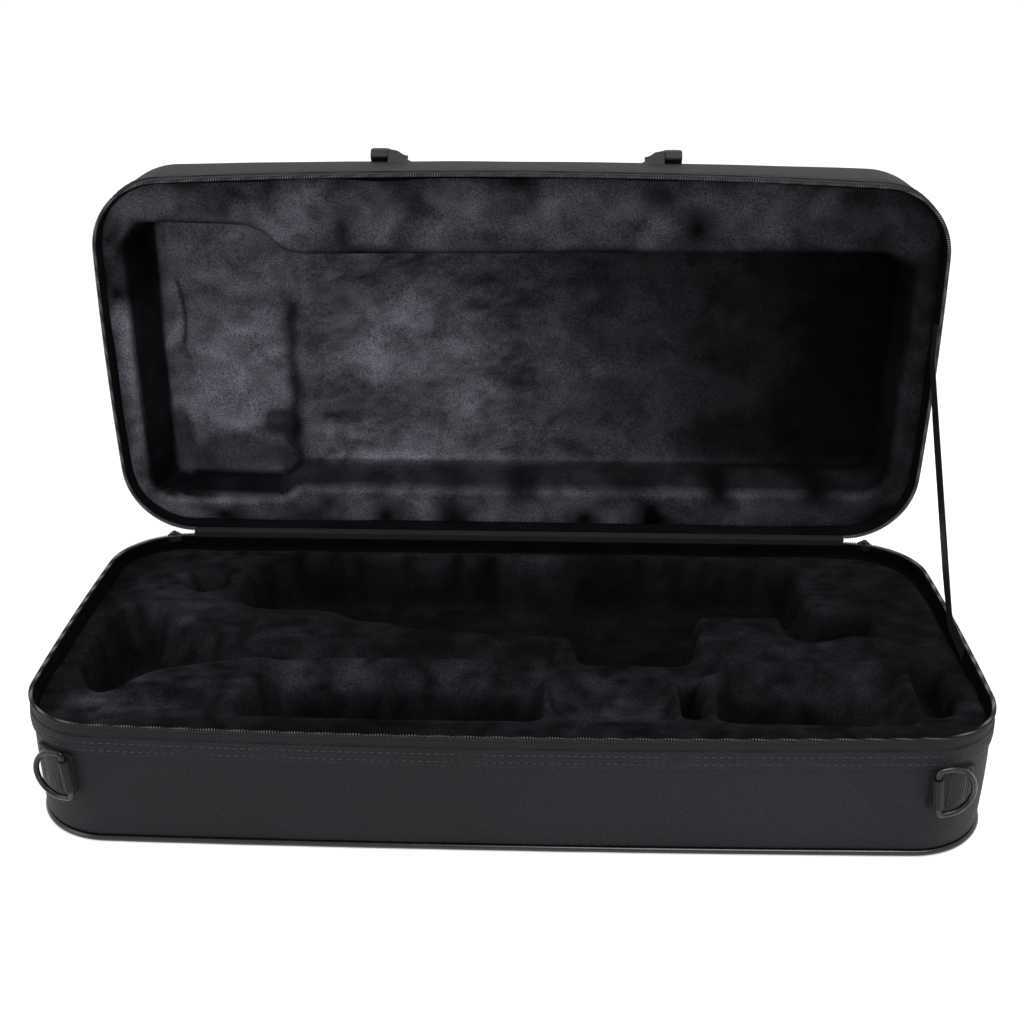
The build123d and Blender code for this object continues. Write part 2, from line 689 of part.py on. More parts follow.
with BuildPart() as handle_grip:
    with BuildSketch(handle_plane):
        with BuildLine():
            Polyline(
                (grip_half, HANDLE_RISE + GRIP_END_RADIUS),
                (grip_half, HANDLE_RISE),
                (-grip_half, HANDLE_RISE),
                (-grip_half, HANDLE_RISE + GRIP_END_RADIUS),
            )
            ThreePointArc(
                (-grip_half, HANDLE_RISE + GRIP_END_RADIUS),
                (0, HANDLE_RISE + GRIP_RADIUS),
                (grip_half, HANDLE_RISE + GRIP_END_RADIUS),
            )
        make_face()
    revolve(axis=Axis(pivot + hang * HANDLE_RISE, (1, 0, 0)))
    fillet(handle_grip.edges().filter_by(GeomType.CIRCLE).group_by(Axis.X)[0], GRIP_ROUNDING)
    fillet(handle_grip.edges().filter_by(GeomType.CIRCLE).group_by(Axis.X)[-1], GRIP_ROUNDING)
    add(handle_strap.part, mode=Mode.SUBTRACT)
write(handle_grip, "handle_grip")

chape_layer = wall_ring(
    lid_rim,
    cover_inset - CHAPE_THICKNESS,
    cover_inset,
    HANDLE_LEVEL - CHAPE_LENGTH,
    LID_HEIGHT - LID_EDGE_RADIUS,
)
for side, hand in (("left", -1), ("right", 1)):
    knuckle_plane = cross_plane.offset(hand * knuckle_middle)
    with BuildPart() as handle_chape:
        add(chape_layer)
        with BuildSketch(lid_rim):
            with Locations((HANDLE_CENTRE + hand * knuckle_middle, pivot_y)):
                Rectangle(KNUCKLE_LENGTH, CHAPE_LENGTH)
        extrude(amount=LID_HEIGHT, mode=Mode.INTERSECT)
        with BuildSketch(knuckle_plane):
            Circle(KNUCKLE_RADIUS)
        extrude(amount=KNUCKLE_LENGTH / 2, both=True)
        with BuildSketch(knuckle_plane):
            Circle(HANDLE_PIN + PIN_CLEARANCE)
        extrude(amount=KNUCKLE_LENGTH, both=True, mode=Mode.SUBTRACT)
    write(handle_chape, f"{side}_handle_chape")

    with BuildPart() as handle_pin:
        with BuildSketch(cross_plane.offset(hand * HANDLE_SPAN)):
            Circle(HANDLE_PIN)
        extrude(amount=-hand * pin_length)
    write(handle_pin, f"{side}_handle_pin")
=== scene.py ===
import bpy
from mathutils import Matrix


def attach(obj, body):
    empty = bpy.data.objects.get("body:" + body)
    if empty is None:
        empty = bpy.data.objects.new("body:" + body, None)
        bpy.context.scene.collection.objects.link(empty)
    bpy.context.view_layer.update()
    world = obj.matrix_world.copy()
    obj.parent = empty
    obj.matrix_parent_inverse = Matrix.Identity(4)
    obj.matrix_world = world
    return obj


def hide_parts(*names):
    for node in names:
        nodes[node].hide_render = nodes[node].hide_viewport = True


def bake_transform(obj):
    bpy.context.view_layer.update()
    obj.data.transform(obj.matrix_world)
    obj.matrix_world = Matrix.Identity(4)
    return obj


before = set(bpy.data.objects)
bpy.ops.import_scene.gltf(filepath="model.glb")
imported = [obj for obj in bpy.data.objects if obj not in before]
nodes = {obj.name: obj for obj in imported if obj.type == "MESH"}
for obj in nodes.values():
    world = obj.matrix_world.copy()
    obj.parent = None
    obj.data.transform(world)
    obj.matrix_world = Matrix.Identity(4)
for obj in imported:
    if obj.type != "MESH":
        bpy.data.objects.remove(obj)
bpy.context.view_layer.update()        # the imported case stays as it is; looks are added round it

from math import atan2, cos, pi, radians, sin, sqrt
import bpy
import numpy as np
from mathutils import Matrix, Vector

# form of the case
case = {
    "width": 0.520, "depth": 0.2334, "corner": 0.0458, "bowRim": 0.0078, "bowFoot": 0.0028, "sideBow": 0.0029,
    "baseHeight": 0.076, "lidHeight": 0.061, "openAngle": radians(88.2), "step": 0.003,
}
halfWidth, hingeY = case["width"] / 2, case["depth"] / 2
openSin, openCos = sin(case["openAngle"]), cos(case["openAngle"])
sideRadius = (hingeY**2 + case["sideBow"]**2) / (2 * case["sideBow"])
sideX = halfWidth + case["sideBow"] - sideRadius


def planSpans(bow):
    # arcs of the plan from the left rear corner round the front to the right: centre, radius, two angles
    r = case["corner"]
    frontRadius = (halfWidth**2 + bow**2) / (2 * bow)
    frontY = frontRadius - bow - hingeY
    x = halfWidth - r
    for _ in range(4):
        y = frontY - sqrt((frontRadius - r)**2 - x**2)
        x = sideX + sqrt((sideRadius - r)**2 - y**2)
    rearY = hingeY - r
    rearX = sideX + sqrt((sideRadius - r)**2 - rearY**2)
    rearTurn, sideTurn = atan2(rearY, rearX - sideX), atan2(-y, x - sideX)
    frontTurn = atan2(x, frontY - y)
    return rearX, [
        ((-rearX, rearY), r, pi / 2, pi - rearTurn),
        ((-sideX, 0), sideRadius, pi - rearTurn, pi + sideTurn),
        ((-x, y), r, pi + sideTurn, 1.5 * pi - frontTurn),
        ((0, frontY), frontRadius, 1.5 * pi - frontTurn, 1.5 * pi + frontTurn),
        ((x, y), r, 1.5 * pi + frontTurn, 2 * pi - sideTurn),
        ((sideX, 0), sideRadius, 2 * pi - sideTurn, 2 * pi + rearTurn),
        ((rearX, rearY), r, 2 * pi + rearTurn, 2.5 * pi),
    ]


def planPath(bow, step, zipped):
    # points on the plan's edge and the outward direction at each; a zipped path leaves out the rear straight
    rearX, spans = planSpans(bow)
    counts = [max(2, round(r * (b - a) / step)) for _, r, a, b in planSpans(case["bowRim"])[1]]
    points, outward = [], []
    for ((cx, cy), r, a, b), count in zip(spans, counts):
        turn = a + (b - a) * np.arange(count) / count
        n = np.column_stack([np.cos(turn), np.sin(turn)])
        points.append(np.array([cx, cy]) + r * n)
        outward.append(n)
    count = 1 if zipped else max(2, round(2 * rearX / step))
    x = rearX - 2 * rearX * np.arange(count) / count
    points.append(np.column_stack([x, np.full(count, hingeY)]))
    outward.append(np.tile([0.0, 1.0], (count, 1)))
    return np.concatenate(points), np.concatenate(outward)


def pathLength(points):
    return np.concatenate([[0], np.cumsum(np.linalg.norm(np.diff(points, axis=0), axis=1))])


def unit(vectors):
    return vectors / np.linalg.norm(vectors, axis=1)[:, None]


def fullTurn(count):
    return np.linspace(0, 2 * pi, count, endpoint=False)


def wallRun(step, zipped=False):
    # running length along the case's wall at each point of its path
    return pathLength(planPath(case["bowRim"], step, zipped)[0])[None]


def onCase(inset, height, step=None, zipped=False):
    # the point of the wall at an inset and a distance from the meeting plane: the plan fades from rim to foot
    step = step or case["step"]
    rim, outward = planPath(case["bowRim"], step, zipped)
    foot, _ = planPath(case["bowFoot"], step, zipped)
    share = (np.abs(height) / case["baseHeight"])[..., None]
    flat = rim * (1 - share) + foot * share - np.asarray(inset)[..., None] * outward
    return np.concatenate([flat, np.broadcast_to(height, flat.shape[:-1])[..., None]], axis=-1)


def place(side, local):
    # a point by its x, y in the closed plan and its distance from the meeting plane, in base or open lid
    x, y, h = local[..., 0], local[..., 1], local[..., 2]
    if side == "base":
        return np.stack([x, y, case["baseHeight"] - h], axis=-1)
    rise = hingeY - y
    return np.stack([x, hingeY - rise * openCos + h * openSin,
                     case["baseHeight"] + rise * openSin + h * openCos], axis=-1)


# mesh making
def solid(name, points, faces, cornerUv=None, sharp=50):
    # faces: integer arrays with one face per row, turned outward by the sign of the enclosed volume
    points = np.asarray(points, float).reshape(-1, 3)
    volume = 0.0
    for f in faces:
        a = points[f[:, 0]]
        for k in range(1, f.shape[1] - 1):
            volume += np.einsum("ij,ij->", a, np.cross(points[f[:, k]], points[f[:, k + 1]]))
    if volume < 0:
        faces = [f[:, ::-1] for f in faces]
        cornerUv = [u[:, ::-1] for u in cornerUv] if cornerUv else None
    mesh = bpy.data.meshes.new(name)
    loops = np.concatenate([f.ravel() for f in faces])
    totals = np.concatenate([np.full(len(f), f.shape[1]) for f in faces])
    mesh.vertices.add(len(points))
    mesh.vertices.foreach_set("co", points.ravel())
    mesh.loops.add(len(loops))
    mesh.loops.foreach_set("vertex_index", loops.astype(np.int32))
    mesh.polygons.add(len(totals))
    mesh.polygons.foreach_set("loop_start", np.concatenate([[0], np.cumsum(totals)[:-1]]).astype(np.int32))
    mesh.polygons.foreach_set("use_smooth", np.ones(len(totals), bool))
    if cornerUv:
        layer = mesh.uv_layers.new(name="fit")
        layer.data.foreach_set("uv", np.concatenate([u.reshape(-1, 2) for u in cornerUv]).ravel())
    mesh.update(calc_edges=True)
    mesh.validate()
    if sharp:
        mesh.set_sharp_from_angle(angle=radians(sharp))
    piece = bpy.data.objects.new(name, mesh)
    bpy.context.scene.collection.objects.link(piece)
    return piece


def gridFaces(rows, columns, wrapRows, wrapColumns, u, v):
    # quads of a grid of points, with the surface lengths u along columns and v along rows at each corner
    i, j = np.meshgrid(np.arange(rows - (not wrapRows)), np.arange(columns - (not wrapColumns)),
                       indexing="ij")
    i, j = i.ravel(), j.ravel()
    corners = [(i, j), (i, j + 1), (i + 1, j + 1), (i + 1, j)]
    quads = np.stack([(a % rows) * columns + b % columns for a, b in corners], axis=1)
    uv = np.stack([np.stack([u[b], v[a]], axis=-1) for a, b in corners], axis=1)
    return quads, uv


def poleFans(rows, columns):
    # triangles that close a grid: its first and last row to the two points that follow it
    near = np.arange(columns)
    after, far, tip = np.roll(near, -1), (rows - 1) * columns, rows * columns
    return [np.stack([after, near, np.full(columns, tip)], axis=1),
            np.stack([far + near, far + after, np.full(columns, tip + 1)], axis=1)]


def stretch(values, close):
    # adds one more length where a grid closes on itself
    return np.append(values, values[-1] + close) if close else values


def tube(name, grid, closedPath, sharp=50):
    # a closed section carried along a path: rows go round it, columns along the path; open ends are capped
    rows, columns = grid.shape[:2]
    middle = grid.mean(axis=0)
    along = pathLength(middle)
    around = pathLength(grid[:, columns // 2])
    u = stretch(along, np.linalg.norm(middle[0] - middle[-1])) if closedPath else along
    v = stretch(around, np.linalg.norm(grid[0, columns // 2] - grid[-1, columns // 2]))
    quads, uv = gridFaces(rows, columns, True, closedPath, u, v)
    faces, uvs = [quads], [uv]
    if not closedPath:
        for column, order in ((0, 1), (columns - 1, -1)):
            cap = (np.arange(rows)[::order] * columns + column)[None, :]
            faces.append(cap[:, ::-1])
            uvs.append(np.zeros((1, rows, 2)))
    return solid(name, grid, faces, uvs, sharp)


def rim(name, side, inset, height, step=None, zipped=False, sharp=50):
    # a section of insets and heights, one point a row, carried round the case's wall
    columns = len(planPath(case["bowRim"], step or case["step"], zipped)[0])
    inset = np.broadcast_to(np.asarray(inset, float).reshape(len(inset), -1), (len(inset), columns))
    height = np.broadcast_to(np.asarray(height, float).reshape(len(height), -1), (len(height), columns))
    return tube(name, place(side, onCase(inset, height, step, zipped)), not zipped, sharp)


def rounded(points, radii, steps=5):
    # a closed section, each corner cut by a quadratic curve between two points a radius away
    points = np.asarray(points, float)
    radii = np.broadcast_to(radii, len(points))
    out = []
    for k, (p, r) in enumerate(zip(points, radii)):
        a, b = points[k - 1] - p, points[(k + 1) % len(points)] - p
        a, b = a / np.linalg.norm(a), b / np.linalg.norm(b)
        t = np.linspace(0, 1, steps)[:, None]
        out.append((1 - t)**2 * (p + a * r) + 2 * t * (1 - t) * p + t**2 * (p + b * r))
    return np.concatenate(out)


def slab(low, high, radius, steps, gap):
    # a rounded rectangle between two corners, with points no further apart than a gap
    corners = [low, (high[0], low[1]), high, (low[0], high[1])]
    return dense(rounded(corners, radius, steps), gap)


def dense(section, gap):
    # the same closed section with points no further apart than a gap
    closed = np.vstack([section, section[:1]])
    along = pathLength(closed)
    at = np.linspace(0, along[-1], max(4, round(along[-1] / gap)), endpoint=False)
    return np.column_stack([np.interp(at, along, closed[:, k]) for k in range(closed.shape[1])])


def smoothStep(value, low, high):
    t = np.clip((value - low) / (high - low), 0, 1)
    return t * t * (3 - 2 * t)


def ripple(u, v, wave, seed):
    # gentle uneven waves: the sum of five sine waves in random directions, from -1 to 1
    draw = np.random.default_rng(seed)
    total = 0
    for _ in range(5):
        turn, phase, length = draw.uniform(0, 2 * pi), draw.uniform(0, 2 * pi), wave * draw.uniform(0.7, 1.6)
        total = total + np.sin(2 * pi * (u * cos(turn) + v * sin(turn)) / length + phase)
    return total / 5


def noise2(u, v, cell, seed):
    # smooth noise from -1 to 1: random values on a lattice, blended between lattice points by smoothstep
    draw = np.random.default_rng(seed)
    lattice = draw.uniform(-1, 1, (96, 96))
    a, b = u / cell + 40, v / cell + 40
    i, j = np.floor(a).astype(int), np.floor(b).astype(int)
    s, t = a - i, b - j
    s, t = s * s * (3 - 2 * s), t * t * (3 - 2 * t)
    i, j = i % 95, j % 95
    low = lattice[i, j] * (1 - s) + lattice[i + 1, j] * s
    high = lattice[i, j + 1] * (1 - s) + lattice[i + 1, j + 1] * s
    return low * (1 - t) + high * t


def polygonDistance(x, y, corners):
    # distance inside (positive) or outside (negative) a polygon
    best = np.full(x.shape, 1e9)
    inside = np.zeros(x.shape, bool)
    for (ax, ay), (bx, by) in zip(corners, corners[1:] + corners[:1]):
        ex, ey = bx - ax, by - ay
        wx, wy = x - ax, y - ay
        t = np.clip((wx * ex + wy * ey) / (ex * ex + ey * ey), 0, 1)
        best = np.minimum(best, np.hypot(wx - ex * t, wy - ey * t))
        crossing = (ay > y) != (by > y)
        with np.errstate(divide="ignore", invalid="ignore"):
            inside ^= crossing & (x < ex * (y - ay) / (by - ay) + ax)
    return np.where(inside, best, -best)


def wallDrop(distance, depth, lip, slope, foot):
    # depth of a soft pocket at a distance inside its edge: rounded lip, steep wall, rounded foot
    t = np.linspace(0, pi / 2, 9)
    lipX, lipZ = -lip + lip * np.sin(t), lip * (1 - np.cos(t))
    footX, footZ = slope + foot * (1 - np.cos(t)), depth - foot + foot * np.sin(t)
    return np.interp(distance, np.concatenate([lipX, footX]), np.concatenate([lipZ, footZ]), left=0,
                     right=depth)


def softMax(a, b, k):
    # the larger of two depths, blended where they are within k of each other
    h = np.clip(0.5 + 0.5 * (a - b) / k, 0, 1)
    return b + (a - b) * h + k * h * (1 - h)


def blur(values, sigma):
    # smooths a grid of depths by a bell-shaped average along both directions
    reach = int(3 * sigma) + 1
    kernel = np.exp(-0.5 * (np.arange(-reach, reach + 1) / sigma)**2)
    kernel /= kernel.sum()
    padded = np.pad(values, reach, mode="edge")
    padded = np.apply_along_axis(lambda row: np.convolve(row, kernel, mode="valid"), 1, padded)
    return np.apply_along_axis(lambda col: np.convolve(col, kernel, mode="valid"), 0, padded)


def planPatch(inset, height, rows, columns):
    # a grid over the whole plan, its four sides running between the middles of the rounded corners
    edge = onCase(np.array([inset]), np.array([[height]]), 0.001)[0, :, :2]
    corners = [np.argmin(np.hypot(edge[:, 0] - a, edge[:, 1] - b * 0.6))
               for a, b in ((-1, 1), (-1, -1), (1, -1), (1, 1))]

    def sideCurve(first, last, count):
        run = np.roll(edge, -first, axis=0)[: (last - first) % len(edge) + 1]
        along = pathLength(run)
        at = np.linspace(0, along[-1], count)
        return np.column_stack([np.interp(at, along, run[:, k]) for k in range(2)])

    left = sideCurve(corners[0], corners[1], rows)[::-1]
    front = sideCurve(corners[1], corners[2], columns)
    right = sideCurve(corners[2], corners[3], rows)
    rear = sideCurve(corners[3], corners[0], columns)[::-1]
    s, t = np.linspace(0, 1, columns)[None, :, None], np.linspace(0, 1, rows)[:, None, None]
    return ((1 - t) * front[None] + t * rear[None] + (1 - s) * left[:, None] + s * right[:, None]
            - (1 - s) * (1 - t) * front[0] - s * (1 - t) * front[-1]
            - (1 - s) * t * rear[0] - s * t * rear[-1])


def moulding(name, side, plan, depth, back, backPlan):
    # a closed block: a grid of depths as its face, sides down to its back, a flat back closed to its middle
    rows, columns = depth.shape
    face = np.concatenate([plan, depth[..., None]], axis=-1)
    border = np.concatenate([np.arange(columns), np.arange(1, rows) * columns + columns - 1,
                             (rows - 1) * columns + np.arange(columns - 2, -1, -1),
                             np.arange(rows - 2, 0, -1) * columns])
    ring = np.column_stack([backPlan.reshape(-1, 2)[border], np.full(len(border), back)])
    points = np.vstack([face.reshape(-1, 3), ring, [[0, 0, back]]])
    u, v = plan[rows // 2, :, 0], plan[:, columns // 2, 1]
    quads, uv = gridFaces(rows, columns, False, False, u, v)
    low = rows * columns + np.arange(len(border))
    sides = np.stack([border, low, np.roll(low, -1), np.roll(border, -1)], axis=1)
    fan = np.stack([low, np.full(len(low), len(points) - 1), np.roll(low, -1)], axis=1)
    uvs = [uv, points[sides][..., :2], points[fan][..., :2]]
    return solid(name, place(side, points), [quads, sides, fan], uvs, None)


def dress(piece, material, body, replaced=()):
    piece.data.materials.clear()
    piece.data.materials.append(material)
    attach(piece, body)
    if replaced:
        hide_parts(*replaced)
    return piece


print("case form ready")


# materials
def node(tree, kind, inputs=None, **settings):
    made = tree.nodes.new(kind)
    for key, value in settings.items():
        setattr(made, key, value)
    for key, value in (inputs or {}).items():
        if isinstance(value, bpy.types.NodeSocket):
            tree.links.new(value, made.inputs[key])
        else:
            made.inputs[key].default_value = value
    return made


def calc(tree, operation, *values, clamp=False):
    return node(tree, "ShaderNodeMath", dict(enumerate(values)), operation=operation,
                use_clamp=clamp).outputs[0]


def times(tree, first, second, clamp=False):
    return calc(tree, "MULTIPLY", first, second, clamp=clamp)


def plus(tree, first, second, clamp=False):
    return calc(tree, "ADD", first, second, clamp=clamp)


def minus(tree, first, second):
    return calc(tree, "SUBTRACT", first, second)


def blendColour(tree, share, low, high):
    colours = {0: share, 6: (*low, 1), 7: (*high, 1)}
    return node(tree, "ShaderNodeMix", colours, data_type="RGBA").outputs[2]


def noiseTexture(tree, where, scale, detail, **more):
    return node(tree, "ShaderNodeTexNoise", {"Vector": where, "Scale": scale, "Detail": detail, **more})


def shaderGroup(name, inputs, outputs):
    group = bpy.data.node_groups.new(name, "ShaderNodeTree")
    for label, kind, value in inputs:
        socket = group.interface.new_socket(label, in_out="INPUT", socket_type="NodeSocket" + kind)
        if value is not None:
            socket.default_value = value
    for label in outputs:
        group.interface.new_socket(label, in_out="OUTPUT", socket_type="NodeSocketFloat")
    return group, node(group, "NodeGroupInput"), node(group, "NodeGroupOutput")


def weaveGroup():
    # threads over and under: sine ridges of both directions multiplied, plus sine ridges on the diagonal
    group, given, put = shaderGroup("clothWeave", [("Vector", "Vector", None), ("Pitch", "Float", 0.0008)],
                                    ["Height", "Thread"])
    parts = node(group, "ShaderNodeSeparateXYZ", {0: given.outputs["Vector"]})
    turn = [times(group, calc(group, "DIVIDE", parts.outputs[k], given.outputs["Pitch"]), 2 * pi)
            for k in (0, 1)]
    across = times(group, calc(group, "SINE", turn[0]), calc(group, "SINE", turn[1]))
    diagonal = calc(group, "SINE", plus(group, turn[0], turn[1]))
    both = plus(group, times(group, across, 0.15), times(group, diagonal, 0.42))
    uneven = noiseTexture(group, given.outputs["Vector"], 2600.0, 2.0)
    height = plus(group, plus(group, both, 0.35), times(group, uneven.outputs[0], 0.3))
    group.links.new(height, put.inputs["Height"])
    group.links.new(times(group, height, 1.0, clamp=True), put.inputs["Thread"])
    return group


def napGroup():
    # pile of plush: fine noise for the tufts, and coarser noise for where the pile lies one way or the other
    group, given, put = shaderGroup("plushNap", [("Vector", "Vector", None), ("Tuft", "Float", 900.0)],
                                    ["Height", "Tuft", "Lie"])
    tuft = noiseTexture(group, given.outputs["Vector"], given.outputs["Tuft"], 3.0, Roughness=0.7)
    lie = noiseTexture(group, given.outputs["Vector"], 48.0, 6.0, Roughness=0.55, Distortion=0.6)
    spread = node(group, "ShaderNodeMapRange", {0: tuft.outputs[0], 1: 0.30, 2: 0.70})
    broad = node(group, "ShaderNodeMapRange", {0: lie.outputs[0], 1: 0.34, 2: 0.66})
    group.links.new(tuft.outputs[0], put.inputs["Height"])
    group.links.new(spread.outputs[0], put.inputs["Tuft"])
    group.links.new(broad.outputs[0], put.inputs["Lie"])
    return group


def wearGroup():
    # rubbed and dusty patches: large noise sharpened to a mask, broken up by fine noise
    group, given, put = shaderGroup("wearPatches", [("Vector", "Vector", None), ("Size", "Float", 12.0),
                                                    ("Amount", "Float", 0.5)],
                                    ["Mask"])
    patch = noiseTexture(group, given.outputs["Vector"], given.outputs["Size"], 5.0)
    fine = noiseTexture(group, given.outputs["Vector"], 700.0, 2.0)
    edge = minus(group, 1.0, times(group, given.outputs["Amount"], 0.6))
    mask = node(group, "ShaderNodeMapRange", {0: patch.outputs[0], 1: minus(group, edge, 0.25), 2: edge})
    group.links.new(times(group, mask.outputs[0], fine.outputs[0], clamp=True), put.inputs["Mask"])
    return group


# run of one turn of the zipper's coil, and how far round the chain's section its upper edge lies, where the
# coil's painted highlight runs
zipperPitch, coilTop = 0.0016, 0.0062
groups = {"weave": weaveGroup(), "nap": napGroup(), "wear": wearGroup()}


def effect(tree, name, **inputs):
    return node(tree, "ShaderNodeGroup", inputs, node_tree=groups[name])


def startMaterial(name, **shader):
    made = bpy.data.materials.new(name)
    made.use_nodes = True
    tree = made.node_tree
    surface = tree.nodes["Principled BSDF"]
    for key, value in shader.items():
        surface.inputs[key].default_value = value
    return made, tree, surface


def coordinates(tree, fitted):
    if fitted:
        return node(tree, "ShaderNodeUVMap", uv_map="fit").outputs[0]
    return node(tree, "ShaderNodeTexCoord").outputs["Object"]


def finish(tree, surface, colour, roughness, height, strength, distance):
    bump = node(tree, "ShaderNodeBump", {"Height": height, "Strength": strength, "Distance": distance})
    for value, key in ((colour, "Base Color"), (roughness, "Roughness"), (bump.outputs[0], "Normal")):
        tree.links.new(value, surface.inputs[key])


def clothMaterial(name, dark, light, pitch):
    # woven cloth: light threads, dark gaps, and large dusty patches that lift both
    made, tree, surface = startMaterial(
        name, **{"Sheen Weight": 0.03, "Sheen Roughness": 0.4, "Specular IOR Level": 0.16})
    weave = effect(tree, "weave", Vector=coordinates(tree, True), Pitch=pitch)
    dust = effect(tree, "wear", Vector=node(tree, "ShaderNodeTexCoord").outputs["Object"], Size=9.0,
                  Amount=0.55)
    tone = plus(tree, times(tree, weave.outputs["Thread"], 0.75), times(tree, dust.outputs[0], 0.35))
    rough = minus(tree, 0.74, times(tree, weave.outputs["Thread"], 0.2))
    finish(tree, surface, blendColour(tree, tone, dark, light), rough, weave.outputs["Height"], 0.6,
           pitch * 0.35)
    return made


def plushMaterial(name, dark, light):
    # pile: its tone comes from the piece's per-point values, which hold the lie of the pile and painted light
    # and shade, broken up by broad patches and fine tufts
    made, tree, surface = startMaterial(
        name, **{"Sheen Weight": 0.008, "Sheen Roughness": 0.35, "Specular IOR Level": 0.02})
    nap = effect(tree, "nap", Vector=node(tree, "ShaderNodeTexCoord").outputs["Object"], Tuft=950.0)
    pileAndPaintedLight = node(tree, "ShaderNodeAttribute", attribute_name="pileAndPaintedLight").outputs["Fac"]
    lie = times(tree, pileAndPaintedLight, plus(tree, 0.62, times(tree, nap.outputs["Lie"], 0.76)))
    tuft = plus(tree, 0.30, times(tree, nap.outputs["Tuft"], 1.4))
    tone = times(tree, times(tree, lie, tuft), 0.58, clamp=True)
    rough = minus(tree, 0.95, times(tree, nap.outputs["Lie"], 0.1))
    finish(tree, surface, blendColour(tree, tone, dark, light), rough, nap.outputs["Height"], 0.55, 0.0009)
    return made


def stripeMaterial(name, dark, light, pitch, slant, roughness, strength):
    # ribs along the piece: a sine of the running length, slanted by the width
    made, tree, surface = startMaterial(name, **{"Sheen Weight": 0.02, "Specular IOR Level": 0.2})
    parts = node(tree, "ShaderNodeSeparateXYZ", {0: coordinates(tree, True)})
    run = plus(tree, parts.outputs[0], times(tree, parts.outputs[1], slant))
    turn = times(tree, run, 2 * pi / pitch)
    rib = plus(tree, times(tree, calc(tree, "SINE", turn), 0.5), 0.5)
    fine = effect(tree, "weave", Vector=coordinates(tree, True), Pitch=0.0005)
    height = plus(tree, times(tree, rib, 0.8), times(tree, fine.outputs[0], 0.2))
    rough = minus(tree, roughness, times(tree, rib, 0.12))
    finish(tree, surface, blendColour(tree, height, dark, light), rough, height, strength, pitch * 0.3)
    return made


def coilMaterial(name, low, high):
    # black nylon coil with its light painted in: painted sheen on each turn, painted shade near black between
    # the turns, and a painted highlight brightest where a turn bends over the top
    made, tree, surface = startMaterial(name, **{"Specular IOR Level": 0.2})
    parts = node(tree, "ShaderNodeSeparateXYZ", {0: coordinates(tree, True)})
    run = times(tree, plus(tree, parts.outputs[0], times(tree, parts.outputs[1], 0.3)), 2 * pi / zipperPitch)
    rib = calc(tree, "POWER", plus(tree, times(tree, calc(tree, "SINE", run), 0.5), 0.5), 2.6)
    # painted highlight along the upper edge of the chain's section
    away = calc(tree, "ABSOLUTE", minus(tree, parts.outputs[1], coilTop))
    top = node(tree, "ShaderNodeMapRange", {0: away, 1: 0.0004, 2: 0.0013, 3: 1.0, 4: 0.0}).outputs[0]
    fine = noiseTexture(tree, coordinates(tree, False), 900.0, 2.0).outputs[0]
    tone = times(tree, rib, plus(tree, 0.10, times(tree, top, 0.9)))
    rough = plus(tree, 0.38, times(tree, fine, 0.2))
    finish(tree, surface, blendColour(tree, tone, (low, low, low * 1.1), (high, high, high * 1.04)), rough,
           rib, 0.3, 0.0004)
    return made


def hardMaterial(name, colour, worn, roughness, metallic=0.0, coat=0.0, strength=0.15, amount=0.45,
                 fitted=False):
    # metal, vinyl or thread: fine grain over all, and a second colour where it is rubbed
    made, tree, surface = startMaterial(
        name, **{"Metallic": metallic, "Coat Weight": coat, "Coat Roughness": 0.2, "Specular IOR Level": 0.3})
    spot = coordinates(tree, fitted)
    wear = effect(tree, "wear", Vector=spot, Size=70.0, Amount=amount)
    fine = noiseTexture(tree, spot, 420.0, 4.0)
    rough = plus(tree, roughness - 0.08, times(tree, fine.outputs[0], 0.22))
    tone = blendColour(tree, wear.outputs[0], colour, worn)
    finish(tree, surface, tone, rough, fine.outputs[0], strength, 0.0002)
    return made


def leatherMaterial(name, dark, light):
    # pebbled grain: distance to the edges of small random cells, darker in the creases
    made, tree, surface = startMaterial(
        name, **{"Coat Weight": 0.05, "Coat Roughness": 0.4, "Specular IOR Level": 0.3})
    spot = coordinates(tree, False)
    cells = node(tree, "ShaderNodeTexVoronoi", {"Vector": spot, "Scale": 1300.0}, feature="DISTANCE_TO_EDGE")
    height = node(tree, "ShaderNodeMapRange", {0: cells.outputs["Distance"], 1: 0.0, 2: 0.25}).outputs[0]
    wear = effect(tree, "wear", Vector=spot, Size=40.0, Amount=0.5)
    tone = plus(tree, times(tree, height, 0.5), times(tree, wear.outputs[0], 0.6), clamp=True)
    rough = plus(tree, 0.45, times(tree, wear.outputs[0], 0.25))
    finish(tree, surface, blendColour(tree, tone, dark, light), rough, height, 0.5, 0.00025)
    return made


cloth = clothMaterial("coverCloth", (0.0006, 0.0005, 0.0009), (0.0250, 0.0232, 0.0305), 0.00135)
bandCloth = clothMaterial("bandCloth", (0.0006, 0.0005, 0.0009), (0.0235, 0.0218, 0.0287), 0.00135)
hingeCloth = clothMaterial("hingeCloth", (0.003, 0.003, 0.0035), (0.014, 0.0135, 0.016), 0.0009)
plush = plushMaterial("plushPile", (0.0008, 0.0008, 0.0011), (0.270, 0.272, 0.325))
liningCloth = plushMaterial("rimPlush", (0.0008, 0.0008, 0.0011), (0.060, 0.060, 0.072))
# the light colour of the coil is its painted highlight
coil = coilMaterial("zipperCoil", 0.0015, 0.19)
zipTape = stripeMaterial("zipperTape", (0.0004, 0.0004, 0.0006), (0.0150, 0.0143, 0.0185),
                         0.0016, 0.9, 0.75, 0.8)
thread = hardMaterial("sewingThread", (0.042, 0.041, 0.047), (0.05, 0.05, 0.056), 0.7, strength=0.3)
pipingVinyl = hardMaterial("pipingVinyl", (0.004, 0.004, 0.0045), (0.012, 0.012, 0.013), 0.14, coat=0.25,
                           strength=0.05, fitted=True)
ribbonWeave = stripeMaterial("stayRibbonWeave", (0.003, 0.003, 0.0035), (0.014, 0.014, 0.016),
                             0.0011, 0.0, 0.5, 0.5)
webbing = stripeMaterial("ringWebbing", (0.002, 0.002, 0.0028), (0.014, 0.0135, 0.017),
                         0.0014, 0.0, 0.55, 0.8)
